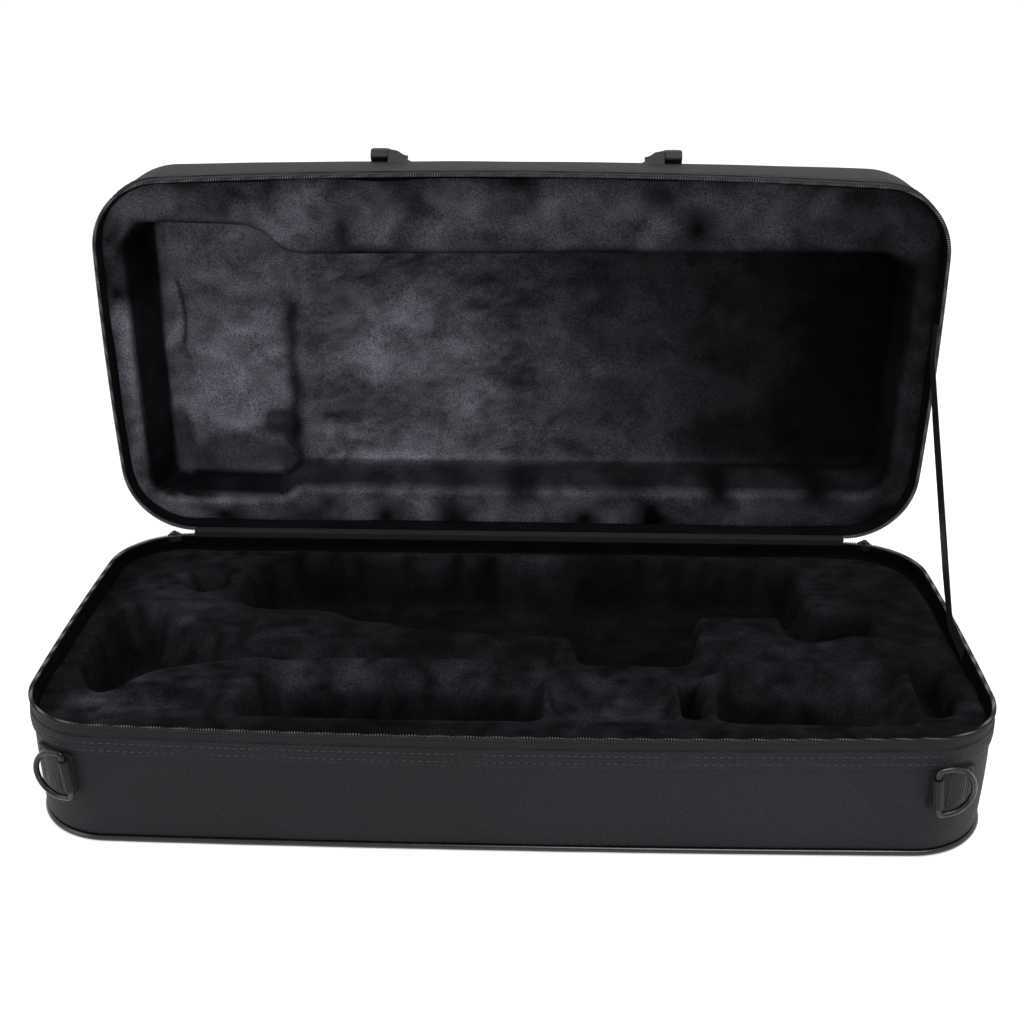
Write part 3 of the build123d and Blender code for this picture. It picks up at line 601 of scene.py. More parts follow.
blackMetal = hardMaterial("blackenedMetal", (0.010, 0.010, 0.011), (0.10, 0.098, 0.095), 0.24, metallic=0.7,
                          coat=0.12, amount=0.5)
pinMetal = hardMaterial("handlePinMetal", (0.10, 0.10, 0.10), (0.3, 0.3, 0.29), 0.35, metallic=0.9,
                        amount=0.6)
leather = leatherMaterial("handleLeather", (0.004, 0.004, 0.0045), (0.020, 0.0195, 0.021))
print("materials ready")

for name in ("left_zipper_pull", "right_zipper_pull"):
    for holder in nodes[name].material_slots:
        holder.material = blackMetal


# zipper, bands and rim lining, alike on base and lid
zipper = {"pitch": zipperPitch, "samples": 6, "top": 0.0004, "foot": 0.0030, "face": 0.0001, "back": 0.0025,
          "slant": 0.5, "cut": 0.0009, "tapeFoot": 0.0088}
band = {"top": 0.0080, "foot": 0.0202, "thick": 0.0011, "rows": (0.0112, 0.0160), "dip": 0.00030}
stitch = {"length": 0.0028, "pitch": 0.0042, "radius": 0.00027, "rise": radians(6)}


def zipperChain(side):
    # a rounded strip whose outer and upper faces dip once a coil turn by half the cut times one minus cosine
    turn = fullTurn(14)[:, None]
    c, s = np.cos(turn), np.sin(turn)
    middle = (zipper["top"] + zipper["foot"]) / 2, (zipper["face"] + zipper["back"]) / 2
    height = middle[0] + np.sign(s) * np.abs(s)**0.6 * (zipper["foot"] - zipper["top"]) / 2
    inset = middle[1] + np.sign(c) * np.abs(c)**0.6 * (zipper["back"] - zipper["face"]) / 2
    step = zipper["pitch"] / zipper["samples"]
    along = wallRun(step, True)
    gapShare = 0.5 - 0.5 * np.cos(2 * pi * (along + zipper["slant"] * height) / zipper["pitch"])
    height = height + zipper["cut"] * gapShare * (s < -0.2)
    inset = inset + 0.7 * zipper["cut"] * gapShare * (c < -0.2)
    piece = rim(side + "ZipperChain", side, inset, height, step, True, None)
    return dress(piece, coil, side, [side + "_zipper_chain"])


def zipperTape(side):
    low, foot = 0.0026, zipper["tapeFoot"]
    section = dense(rounded([(0.0006, low), (0.0006, foot), (0.0014, foot), (0.0014, low)], 0.0002, 3),
                    0.0009)
    piece = rim(side + "ZipperTape", side, section[:, 0], section[:, 1], 0.003, True)
    return dress(piece, zipTape, side, [side + "_zipper_tape"])


def stitchedBand(side):
    # a folded strip of cloth: its face dips along each row of stitches and swells gently between them
    section = dense(rounded([(0.0, band["top"]), (0.0, band["foot"]), (band["thick"], band["foot"]),
                             (band["thick"], band["top"])],
                            0.0005, 4), 0.0007)
    along = wallRun(0.002)
    inset, height = section[:, :1], section[:, 1:]
    face = inset < band["thick"] * 0.5
    blend = smoothStep(height, band["foot"] - 0.0035, band["foot"])
    pull = 0.75 + 0.25 * np.cos(2 * pi * along / stitch["pitch"])
    dip = sum(np.exp(-((height - row) / 0.0007)**2) * pull for row in band["rows"])
    swell = 0.0003 * ripple(along, height * 3, 0.03, 4)
    belly = np.sin(pi * (height - band["top"]) / (band["foot"] - band["top"]))
    inset = inset + face * (band["dip"] * dip - 0.0003 * belly + swell + 0.0009 * blend)
    piece = rim(side + "StitchedBand", side, inset, height, 0.002)
    return dress(piece, bandCloth, side, [side + "_stitched_band"])


def capsule(length, radius):
    # a stitch: rings of points whose radius follows a half ellipse, closed at both ends
    sides = 6
    turn = np.arange(sides) * 2 * pi / sides
    reach = np.array([-0.5, -0.34, 0.0, 0.34, 0.5]) * length
    size = radius * np.array([0.35, 0.9, 1.0, 0.9, 0.35])
    rings = np.stack([np.repeat(reach[:, None], sides, 1), size[:, None] * np.cos(turn),
                      size[:, None] * np.sin(turn)], axis=-1)
    quads, _ = gridFaces(len(reach), sides, False, True, np.arange(sides + 1.0), np.arange(float(sides)))
    last = (len(reach) - 1) * sides
    return rings.reshape(-1, 3), quads, [np.arange(sides)[None, ::-1], (last + np.arange(sides))[None]]


def repeated(name, centres, along, outward, upward, length, radius):
    # the same stitch set at many places, each with its own three directions
    shape, quads, ends = capsule(length, radius)
    points = (centres[:, None] + shape[None, :, :1] * along[:, None] + shape[None, :, 1:2] * outward[:, None]
              + shape[None, :, 2:] * upward[:, None])
    shift = (np.arange(len(centres)) * len(shape))[:, None, None]
    faces = [(f[None] + shift).reshape(-1, f.shape[1]) for f in [quads] + ends]
    return solid(name, points, faces, None, None)


def bandStitches(side):
    parts = []
    for height in band["rows"]:
        path = onCase(np.array([0.0]), np.array([[height]]), 0.001)[0]
        closed = np.vstack([path, path[:1]])
        length = pathLength(closed)
        at = np.arange(stitch["pitch"] / 2, length[-1], length[-1] / round(length[-1] / stitch["pitch"]))
        spot = np.column_stack([np.interp(at, length, closed[:, k]) for k in range(3)])
        ahead = np.column_stack([np.interp((at + 0.001) % length[-1], length, closed[:, k])
                                 for k in range(3)])
        parts.append((spot, unit(ahead - spot)))
    spot, along = (np.concatenate(each) for each in zip(*parts))
    up = np.tile([0.0, 0.0, 1.0], (len(spot), 1))
    outward = unit(np.cross(along, up))
    along = along * cos(stitch["rise"]) - up * sin(stitch["rise"])
    up = np.cross(outward, along)
    ends = [place(side, spot + 0.00002 * outward)]
    ends += [place(side, spot + v) - place(side, spot) for v in (along, outward, up)]
    piece = repeated(side + "BandStitches", *ends, stitch["length"], stitch["radius"])
    return dress(piece, thread, side)


def paintPileAndLight(piece, values):
    # how light each point of a plush piece is painted, from 0 to 1: the lie of its pile, and on the insert
    # and lid lining painted light and shade too
    layer = piece.data.attributes.new("pileAndPaintedLight", "FLOAT", "POINT")
    layer.data.foreach_set("value", np.clip(np.asarray(values, np.float32).ravel(), 0, 1))
    return piece


def rimLiner(side, level):
    # the turned-in plush between the zipper and the plush plane, with a soft fold at its foot
    section = dense(rounded([(0.0016, 0.0030), (0.0016, 0.0118), (0.0075, 0.0118), (0.0075, 0.0106),
                             (0.0034, 0.0104), (0.0026, 0.0030)],
                            [0.0003, 0.0008, 0.0005, 0.0004, 0.0012, 0.0004], 5), 0.0006)
    along = wallRun(0.003)
    inset = section[:, :1] + 0.0002 * ripple(along, section[:, 1:] * 4, 0.025, 6)
    piece = rim(side + "RimLiner", side, inset, section[:, 1:] + 0 * along, 0.003)
    paintPileAndLight(piece, level * (0.8 + 0.25 * ripple(along, section[:, 1:] * 2, 0.05, 9))
            * np.ones((len(section), 1)))
    return dress(piece, liningCloth, side, [side + "_rim_liner"])


for side, level in (("base", 0.02), ("lid", 0.08)):
    zipperChain(side)
    zipperTape(side)
    stitchedBand(side)
    bandStitches(side)
    rimLiner(side, level)
print("zipper, bands and stitches ready")

# zipper sliders, parked at the rear ends of the base's chain
slider = {"park": radians(18), "low": 0.0053, "high": 0.0008, "length": 0.0090, "plate": 0.0010,
          "gap": 0.0003, "chain": 0.0026, "post": 0.0024, "eye": 0.0009, "eyeWall": 0.0009,
          "eyeWidth": 0.0030}


def pebble(centre, ways, halves, power=0.35, rings=13, columns=24):
    # a rounded block: the three half sizes times powers of sine and cosine of latitude and longitude
    lat = np.linspace(-pi / 2, pi / 2, rings)[:, None]
    lon = fullTurn(columns)[None]

    def eased(value):
        return np.sign(value) * np.abs(value)**power

    x, y = eased(np.cos(lat)) * eased(np.cos(lon)), eased(np.cos(lat)) * eased(np.sin(lon))
    local = np.stack([x * halves[0], y * halves[1], eased(np.sin(lat)) * halves[2] + 0 * lon], axis=-1)
    points = (centre + local @ np.asarray(ways)).reshape(-1, 3)
    inner = points[columns:-columns]
    poles = np.array([points[:columns].mean(axis=0), points[-columns:].mean(axis=0)])
    quads, _ = gridFaces(rings - 2, columns, False, True, np.arange(columns + 1.0), np.arange(rings - 2.0))
    return np.concatenate([inner, poles]), [quads] + poleFans(rings - 2, columns)


def joined(name, parts):
    # several closed shells as one piece
    points, faces, first = [], [], 0
    for shell, shellFaces in parts:
        points.append(shell)
        faces += [f + first for f in shellFaces]
        first += len(shell)
    return solid(name, np.concatenate(points), faces, None, 40)


def zipperSlider(side):
    # two plates on either side of the chain, the post that joins them, and an eye for the pull
    hand = -1 if side == "left" else 1
    centre, r, _, _ = planSpans(case["bowRim"])[1][0 if side == "left" else 6]
    turn = pi / 2 - hand * slider["park"]
    out = np.array([cos(turn), sin(turn), 0.0])
    along, up = np.array([-sin(turn), cos(turn), 0.0]), np.array([0.0, 0.0, 1.0])
    high = case["baseHeight"] - (slider["low"] + slider["high"]) / 2
    tall = (slider["low"] - slider["high"]) / 2

    def at(reach, level):
        return np.array([*centre, 0.0]) + out * reach + up * level

    ways = (along, up, out)
    plate = slider["plate"] / 2
    outer, inner = r + slider["gap"] + plate, r - slider["chain"] - slider["gap"] - plate
    parts = [pebble(at(outer, high), ways, (slider["length"] / 2, tall, plate)),
             pebble(at(inner, high), ways, (slider["length"] / 2, tall, plate)),
             pebble(at((outer + inner) / 2, case["baseHeight"] - 0.0001), ways,
                    (slider["post"] / 2, 0.0002, (outer - inner) / 2))]
    dress(joined(side + "ZipperSlider", parts), blackMetal, side + "_slider",
          [side + "_zipper_slider"])
    eyeCentre = at(r + slider["gap"] + slider["plate"] + slider["eye"] + slider["eyeWall"],
                   case["baseHeight"] - 0.0018)
    around = fullTurn(24)[None]
    wide = slider["eyeWidth"] / 2
    section = slab((slider["eye"], -wide), (slider["eye"] + slider["eyeWall"], wide), 0.0003, 3, 0.0006)
    spoke = np.cos(around)[..., None] * out + np.sin(around)[..., None] * up
    grid = eyeCentre + section[:, :1, None] * spoke + section[:, 1:, None] * along
    dress(tube(side + "SliderEye", grid, True, 50), blackMetal, side + "_slider")


zipperSlider("left")
zipperSlider("right")

# cloth covers
cover = {"top": 0.0185, "thick": 0.0012, "puff": 0.0004, "pucker": 0.00018, "wave": 0.05, "round": 0.0085,
         "crown": 0.0012}
foot = {"radius": 0.0019, "inset": 0.0013, "height": 0.0737}


def baseCover():
    # outer face from band to piping swells by a half sine of the height, with waves; the inner follows it
    h = np.concatenate([np.linspace(cover["top"], 0.0700, 24), [0.0712, 0.0722, 0.0730, 0.0735]])
    along = wallRun(0.004)
    share = ((h - h[0]) / (h[-1] - h[0]))[:, None]
    turnIn = 0.0022 * smoothStep(h, 0.0690, 0.0735)[:, None]**2
    pucker = cover["pucker"] * ripple(along, h[:, None], cover["wave"], 12)
    outer = 0.0009 - cover["puff"] * np.sin(pi * share) + turnIn + pucker
    inset = np.vstack([outer, outer[::-1] + cover["thick"]])
    height = np.concatenate([h, h[::-1]])[:, None] * np.ones_like(inset)
    piece = rim("baseCover", "base", inset, height, 0.004)
    return dress(piece, cloth, "base",
                 ["base_side_cover", "base_wall_core", "base_floor_board"])


def basePiping():
    turn = fullTurn(12)[:, None]
    along = wallRun(0.003)
    uneven = 0.00012 * ripple(along, along * 0, 0.03, 21)
    inset = foot["inset"] + (foot["radius"] + uneven) * np.cos(turn)
    height = foot["height"] + (foot["radius"] + 0.5 * uneven) * np.sin(turn)
    return dress(rim("basePiping", "base", inset, height, 0.003), pipingVinyl, "base",
                 ["base_piping"])


def baseBottom():
    plan = planPatch(0.0030, 0.0750, 60, 140)
    depth = 0.0756 + 0.0002 * ripple(plan[..., 0], plan[..., 1], 0.06, 8)
    piece = moulding("baseBottom", "base", plan, depth, 0.0742, plan)
    return dress(piece, cloth, "base", ["base_bottom_cover"])


def skin(name, side, inset, height, centreHeight, close, step=0.004):
    # a thin closed shell: rings shrink to the middle of the outer face, and the same again inside
    path = onCase(inset, height, step)
    share = np.linspace(0, 1, close, endpoint=False)[1:, None]

    def panel(ring, level):
        flat = ring[None, :, :2] * (1 - share)[..., None]
        wavy = 0.0006 * ripple(flat[..., 0], flat[..., 1], 0.07, 31)
        swell = cover["crown"] * np.sin(share * pi / 2) + wavy
        return np.concatenate([flat, (level + swell * smoothStep(share, 0, 0.15))[..., None]], axis=-1)

    grid = np.concatenate([panel(path[0], centreHeight[0])[::-1], path, panel(path[-1], centreHeight[1])])
    rows, columns = grid.shape[:2]
    u = stretch(pathLength(path[len(path) // 2]), step)
    quads, uv = gridFaces(rows, columns, False, True, u, pathLength(grid[:, columns // 4]))
    ringOf = quads[:, 0] // columns
    onPanel = (ringOf < close - 1) | (ringOf >= rows - close)
    points = np.vstack([grid.reshape(-1, 3), [[0, 0, level + cover["crown"]] for level in centreHeight]])
    uv = np.where(onPanel[:, None, None], points[quads][..., :2], uv)
    fans = poleFans(rows, columns)
    return solid(name, place(side, points), [quads] + fans, [uv] + [points[f][..., :2] for f in fans], 40)


def lidCover():
    # wall from the band up, a quarter round along the far edge, a crowned panel; the inside a cloth in
    high, r = case["lidHeight"], cover["round"]
    wall = np.linspace(cover["top"], high - r, 20)
    turn = np.linspace(0, pi / 2, 9)[1:]
    h = np.concatenate([wall, high - r + r * np.sin(turn)])
    base = np.concatenate([np.full(len(wall), 0.0009), 0.0009 + r * (1 - np.cos(turn))])[:, None]
    along = wallRun(0.004)
    share = np.clip((h - h[0]) / (high - r - h[0]), 0, 1)[:, None]
    pucker = cover["pucker"] * ripple(along, h[:, None], cover["wave"], 17)
    slack = pucker - 0.8 * cover["puff"] * np.sin(pi * share)
    inset = base + slack
    outerH = h[:, None] * np.ones_like(inset)
    t = cover["thick"]
    innerInset = inset + t
    innerH = np.minimum(outerH, high - t)
    inset, height = np.vstack([inset[::-1], innerInset]), np.vstack([outerH[::-1], innerH])
    piece = skin("lidCover", "lid", inset, height, (high, high - t), 26)
    return dress(piece, cloth, "lid", ["lid_cover", "lid_core"])


baseCover()
basePiping()
baseBottom()
lidCover()
print("covers ready")

# plush insert of the base (its shape is in millimetres)
insert = {
    "plane": 10.0, "back": 71.5, "inset": 0.0032, "grid": (172, 400), "blur": 1.25,
    "tubeY": -17.0, "tubeDrop": 6.0,
    "flareX": (-244, -240, -234, -227, -221, -214, -203, -179, -155, -112, 60, 205, 212),
    "flareHalf": (30, 42, 47, 52, 49, 38, 27, 19, 12, 8, 7.5, 7.5, 1),
    "flareDepth": (30, 56, 58, 54, 48, 40, 31, 22, 17, 12, 11, 8, 1),
    "mouthpiece": (-197.0, 67.0, 12.5, 46.0),
    "valves": [(-145, 104), (-160, 96), (-172, 78), (-173, 51), (-166, 34), (-148, 31), (-116, 30),
               (-106, 27), (-98, 18), (-81, 17), (-58, 8), (34, 1), (38, -14), (107, -14), (110, 4),
               (111, 28),
               (160, 29), (166, 30), (180, 40), (180, 104)],
    "bow": [(160, 34), (163, 4), (176, -3), (205, 0), (218, 6), (216, 30), (196, 36)],
    "pocketLeft": [(-150, -91), (19, -91), (20, -42), (-140, -41)],
    "notch": [(-4, -45), (121, -45), (121, -25), (112, -6), (6, -6), (-2, -22)],
    "shelf": [(19, -90), (94, -90), (94, -30), (19, -30)],
    "slot": [(95, -86), (106, -86), (106, -36), (95, -36)],
    "pocketRight": [(112, -90), (221, -90), (219, -43), (114, -44)],
    "endPocket": [(225, -84), (243, -78), (245, -30), (227, -26)],
    "lobe": [(-212, -88), (-210, -74), (-202, -58), (-179, -60), (-160, -66), (-149, -76), (-146, -89)],
}


def insertShape(x, y):
    p = insert
    depth = p["plane"] + 0.5 * noise2(x, y, 46, 3) + 0.25 * noise2(x, y, 17, 5)

    def sink(depth, outline, floor, lip=3.0, slope=3.0, foot=5.0, soft=1.5, cells=2.6):
        inside = blur(polygonDistance(x, y, p[outline]), cells)
        return softMax(depth, wallDrop(inside, floor, lip, slope, foot), soft), inside

    # the bell lies in a trough with an oval section: depth = drop + reach * sqrt(1 - (offset / half width)^2)
    half = np.interp(x, p["flareX"], p["flareHalf"], left=0.01, right=0.01)
    reach = np.interp(x, p["flareX"], p["flareDepth"], left=0, right=0)
    offset = np.clip(np.abs(y - p["tubeY"]) / half, 0, 1)
    trough = np.where((x > p["flareX"][0]) & (x < p["flareX"][-1]),
                      p["tubeDrop"] + reach * np.sqrt(1 - offset**2), 0)
    depth = softMax(depth, trough, 2.5)
    # rear slope of the front pockets, falling away from the tube
    fall = np.interp(y, [-44, -39, -33, -24, -20], [27, 25, 19, 11.5, 10])
    fade = (smoothStep(x, -146, -128) * (1 - smoothStep(x, 12, 20))
            + smoothStep(x, 121, 129) * (1 - smoothStep(x, 212, 222)))
    depth = np.where(y > -46, softMax(depth, 10 + (fall - 10) * fade, 1.5), depth)
    depth, _ = sink(depth, "pocketLeft", 53, slope=4, foot=9)
    depth, _ = sink(depth, "notch", 21, lip=3.5, slope=4, foot=6)
    dish = 23.5 + 4.5 * np.sin(pi * np.clip((x - 19) / 75, 0, 1)) * np.sin(pi * np.clip((y + 92) / 60, 0, 1))
    depth, shelfEdge = sink(depth, "shelf", 22, lip=3.5, slope=3, foot=7)
    depth = np.where(shelfEdge > 5, softMax(depth, dish, 2), depth)
    depth, _ = sink(depth, "slot", 44, lip=2.5, slope=1.5, foot=3, cells=1.6)
    depth, rightEdge = sink(depth, "pocketRight", 53, slope=4, foot=8)
    # soft ramp up to the divider at the right end of the deep pocket
    ramp = np.interp(x, [188, 197, 207, 217, 223], [53, 47, 32, 15, 10])
    depth = np.where((rightEdge > 0) & (x > 188),
                     np.minimum(depth, softMax(ramp, np.full_like(ramp, 10.0), 2)), depth)
    depth, _ = sink(depth, "endPocket", 32, lip=2.5, slope=2, foot=5)
    depth, _ = sink(depth, "lobe", 21, lip=4, slope=6, foot=8)
    depth, _ = sink(depth, "valves", 45, lip=3, slope=3, foot=6)
    depth, _ = sink(depth, "bow", 40, lip=4, slope=4, foot=8, cells=3.5)
    mx, my, r, floor = p["mouthpiece"]
    depth = softMax(depth, wallDrop(r - np.hypot(x - mx, y - my), floor + 10, 1.6, 0.8, 3), 0.8)
    # the plush rides up a little beside the bell tube at the right
    depth = depth - 6.0 * np.exp(-((x - 203) / 17)**2 - ((y + 6) / 6)**2)
    depth = depth - 3.0 * np.exp(-((x - 116) / 9)**2 - ((y + 60) / 22)**2)
    return depth


def insertPileAndPaintedLight(x, y, depth):
    # how light the pile lies: broad patches and a few lighter places; lighter lips on the ramp and the shelf,
    # painted light where they face the lamp; painted shade deeper in the pockets; darker towards the front
    # and left edges
    broad = 0.5 + 0.5 * noise2(x, y, 58, 11) + 0.25 * noise2(x, y, 21, 12)
    light = 0.010 + 0.045 * broad
    light = light + 0.10 * np.exp(-((x + 222) / 26)**2 - ((y + 80) / 26)**2)
    light = light + 0.05 * np.exp(-((x + 60) / 80)**2 - ((y + 33) / 12)**2)
    light = light + 0.05 * np.exp(-((x - 60) / 36)**2 - ((y + 62) / 26)**2)
    light = light + 0.05 * np.exp(-((x + 205) / 30)**2 - ((y - 40) / 40)**2)
    light = light * (1 + 0.6 * noise2(x, y, 8, 13) + 0.5 * noise2(0.4 * x, y, 3.6, 14))
    # painted shade, deeper in the pockets
    pocketShade = smoothStep(depth, 14, 44)
    edge = np.maximum(smoothStep(-y, 88, 98), smoothStep(-x, 238, 250))
    # painted light on the ramp at the right end of the deep pocket and on the shelf, which face the lamp
    litRampAndShelf = (0.07 * np.exp(-((x - 203) / 13)**2 - ((y + 64) / 28)**2)
               + 0.04 * np.exp(-((x - 44) / 12)**2 - ((y + 72) / 20)**2))
    return (light * (1 - 0.7 * pocketShade) + litRampAndShelf * (1 + 0.5 * noise2(x, y, 9, 15))) * (1 - 0.5 * edge) + 0.008


def plushBlock(name, side, p, shape, tone, replaced):
    plan = planPatch(p["inset"], p["plane"] / 1000, *p["grid"])
    x, y = plan[..., 0] * 1000, plan[..., 1] * 1000
    depth = blur(shape(x, y), p["blur"])
    down, along = [np.minimum(np.arange(n), n - 1 - np.arange(n)) for n in depth.shape]
    edge = np.minimum(down[:, None], along[None])
    depth = depth + 1.2 * np.exp(-edge / 1.2)
    backPlan = planPatch(p["inset"], p["back"] / 1000, *p["grid"])
    piece = moulding(name, side, plan, depth / 1000, p["back"] / 1000, backPlan)
    light = np.concatenate([tone(x, y, depth).ravel(), np.full(len(piece.data.vertices) - depth.size, 0.05)])
    paintPileAndLight(piece, light)
    dress(piece, plush, side, replaced)
    return piece


plushBlock("baseInsert", "base", insert, insertShape, insertPileAndPaintedLight, ["base_insert"])
print("insert ready")

# lid lining (its shape is in millimetres)
lining = {
    "plane": 10.0, "back": 57.0, "inset": 0.0032, "grid": (172, 400), "blur": 1.2,
    "recess": [(-248.5, -74), (-234, -88), (-170, -87), (-157, -82), (-149, -72), (-138, -69), (226, -73),
               (240, -66), (244, -56), (242, 80), (232, 87), (-149, 87), (-157, 95), (-236, 96),
               (-248.5, 88)],
    "left": 55.0, "right": 50.0, "step": -152.0, "leftEdge": -248.5, "leftSlope": (19.0, 15.0),
}


def liningShape(x, y):
    p = lining
    inside = blur(polygonDistance(x, y, p["recess"]), 2.6)
    stepShare = smoothStep(x + 6 * np.sin(y / 40), p["step"] - 9, p["step"] + 7)
    floor = p["right"] + (p["left"] - p["right"]) * (1 - stepShare)
    floor = floor + 0.9 * noise2(x, y, 60, 41) + 0.5 * noise2(x, y, 24, 42)
    depth = p["plane"] + 0.5 * noise2(x, y, 42, 43)
    deep = np.interp(inside, [-3.0, -1.8, -0.4, 0.6, 2.0, 4.0, 7.0, 10.0],
                     [0, 0.012, 0.12, 0.42, 0.84, 0.955, 0.99, 1.0])
    slope = np.clip((x - p["leftEdge"]) / np.interp(y, [-80, 85], p["leftSlope"]), 0.08, 1)
    floor = p["plane"] + (floor - p["plane"]) * slope**0.8
    groove = 2.2 * np.exp(-((x - p["step"]) / 3.5)**2) * smoothStep(y, -40, -10)
    return depth + (floor + groove - depth) * deep


def liningPileAndPaintedLight(x, y, depth):
    p = lining
    lie = noise2(x, y, 70, 51) * 22
    # lighter to the left: partly the lie of the pile, partly painted light and sheen that fall off to the
    # right
    light = np.interp(x + lie, [-240, -170, -120, -40, 20, 70, 120, 190, 250],
                      [0.95, 0.98, 0.72, 0.58, 0.34, 0.18, 0.08, 0.02, 0.01])
    streak = noise2(0.45 * x - 0.25 * y, y + 0.35 * x, 3.4, 58) * (1 - smoothStep(np.abs(x + 60), 60, 110))
    light = light * (0.86 + 0.34 * noise2(x, y, 33, 52) + 0.24 * noise2(x * 0.35, y, 9, 53) + 0.22 * streak)
    # brushed dark where the pile was pressed, low down on the left; painted shade in the groove at the step
    # and along the fold at the foot of the left wall
    pressed = smoothStep(y + 22 * noise2(x, y * 0.7, 13, 55), 48, 70) * (1 - smoothStep(x, -165, -120))
    band = (smoothStep(y + 9 * noise2(x * 0.4, y, 12, 59), 22, 34) * (1 - smoothStep(y, 48, 64))
            * (1 - smoothStep(np.abs(x + 95), 30, 60)))
    groove = (np.exp(-((x - p["step"] + 1 + 3 * noise2(x * 0.1, y, 12, 60)) / 6)**2)
              * smoothStep(y + 14 * noise2(x, y, 10, 56), -50, -20))
    fold = (np.exp(-((x + 228 - 5 * np.cos(pi * (y + 18) / 60)) / 1.6)**2)
            * smoothStep(y, -46, -38) * (1 - smoothStep(y, 0, 8)))
    light = light * (1 - 0.72 * pressed) * (1 - 0.45 * band) * (1 - 0.8 * groove) * (1 - 0.8 * fold)
    floorPart = smoothStep(depth, 36, 46)
    # the rim's pile, lighter to the left: partly its lie, partly painted light and sheen that fall off to the
    # right
    rimLight = (np.interp(x, [-250, -100, 120, 250], [0.56, 0.36, 0.22, 0.09])
                * (0.80 + 0.70 * noise2(x, y, 22, 54) + 0.30 * noise2(x, y, 9, 57)))
    # painted shade on the recess walls, deepest on the left wall
    shade = np.interp(x, [-165, -140], [0.95, 0.72])
    wallShade = 1 - shade * smoothStep(depth, 12, 17) * (1 - smoothStep(depth, 45, 49))
    # where the pile turns down over the upper lip of the recess: painted shade on the rim just above the edge
    # and a painted shadow on the floor just under it
    toRecess = polygonDistance(x, y, p["recess"])
    upper = 1 - smoothStep(y, -80, -35)
    lip = 1 - (np.interp(x, [-165, -130], [0.80, 0.55])
               * np.exp(-np.clip(-toRecess - 1, 0, None) / 4.0) * upper)
    shadowUnderLip = 1 - 0.6 * np.exp(-np.clip(toRecess, 0, None) / 4.0) * upper
    return (rimLight * lip * (1 - floorPart) + light * shadowUnderLip * floorPart) * wallShade


plushBlock("lidLining", "lid", lining, liningShape, liningPileAndPaintedLight, ["lid_lining"])
print("lid lining ready")

# hinge cloth, stay ribbon
hinge = {"half": 0.2166, "thick": 0.0010, "leaf": 0.0092, "near": 0.0008, "far": 0.0018, "innerLeaf": 0.0085}
stay = {"x": 0.25945, "wide": 0.0100, "thick": 0.0008, "sag": 0.0012, "twist": radians(-4)}


def strip(name, path, side, width, thickness):
    # a flat band: a rounded rectangle at each point of its path, its thickness along the side direction
    along = unit(np.gradient(path, axis=0))
    side = np.broadcast_to(side, path.shape)
    across = unit(np.cross(along, side))
    w, t = width / 2, thickness / 2
    section = slab((-w, -t), (w, t), t * 0.8, 4, width / 12)
    grid = path[None] + section[:, :1, None] * across[None] + section[:, 1:, None] * side[None]
    return tube(name, grid, False, 40)


def smoothPath(points, spacing, reach):
    # runs between corner points with each corner cut by a quadratic curve over a given reach
    points = np.asarray(points, float)
    out = [points[:1]]
    for before, corner, after in zip(points[:-2], points[1:-1], points[2:]):
        a, b = before - corner, after - corner
        ra, rb = min(reach, np.linalg.norm(a) * 0.48), min(reach, np.linalg.norm(b) * 0.48)
        t = np.linspace(0, 1, 12)[:, None]
        out.append((1 - t)**2 * (corner + a / np.linalg.norm(a) * ra) + 2 * t * (1 - t) * corner
                   + t**2 * (corner + b / np.linalg.norm(b) * rb))
    out.append(points[-1:])
    line = np.concatenate(out)
    length = pathLength(line)
    at = np.linspace(0, length[-1], max(3, round(length[-1] / spacing)))
    return np.column_stack([np.interp(at, length, line[:, k]) for k in range(line.shape[1])])


def hingeLeaf(name, profile, replaced):
    # an L of cloth along the rear edge, its run closed at both ends
    x = np.linspace(-hinge["half"], hinge["half"], 120)
    grid = np.stack([np.broadcast_to(x, (len(profile), len(x))),
                     np.repeat(profile[:, :1], len(x), 1)
                     + 0.0001 * ripple(x[None], profile[:, :1] * 3, 0.03, 61),
                     np.repeat(profile[:, 1:], len(x), 1)], axis=-1)
    piece = tube(name, grid, False, 40)
    piece.data.materials.append(hingeCloth)
    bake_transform(piece)
    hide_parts(replaced)


def lidPoint(y, h):
    return tuple(place("lid", np.array([0.0, y, h]))[1:])


def hingeCloths():
    y, z, t, leaf = hingeY, case["baseHeight"], hinge["thick"], hinge["leaf"]
    outer = [(y, z - leaf), (y + t, z - leaf), (y + t, z - t), (y + leaf, z - t), (y + leaf, z), (y, z)]
    outer = rounded(outer, [0.0003, 0.0003, 0.0016, 0.0003, 0.0003, 0.0004], 6)
    hingeLeaf("hingeClothOuter", dense(outer, 0.0007), "hinge_cloth_outer")
    near, far, low = hinge["near"], hinge["far"], hinge["innerLeaf"]
    inner = [(y - near, z - low), (y - near, z + near), lidPoint(y - near, low), lidPoint(y - far, low),
             (y - far, z + far), (y - far, z - low)]
    inner = rounded(inner, [0.0003, 0.0006, 0.0003, 0.0003, 0.0016, 0.0003], 6)
    hingeLeaf("hingeClothInner", dense(inner, 0.0007), "hinge_cloth_inner")


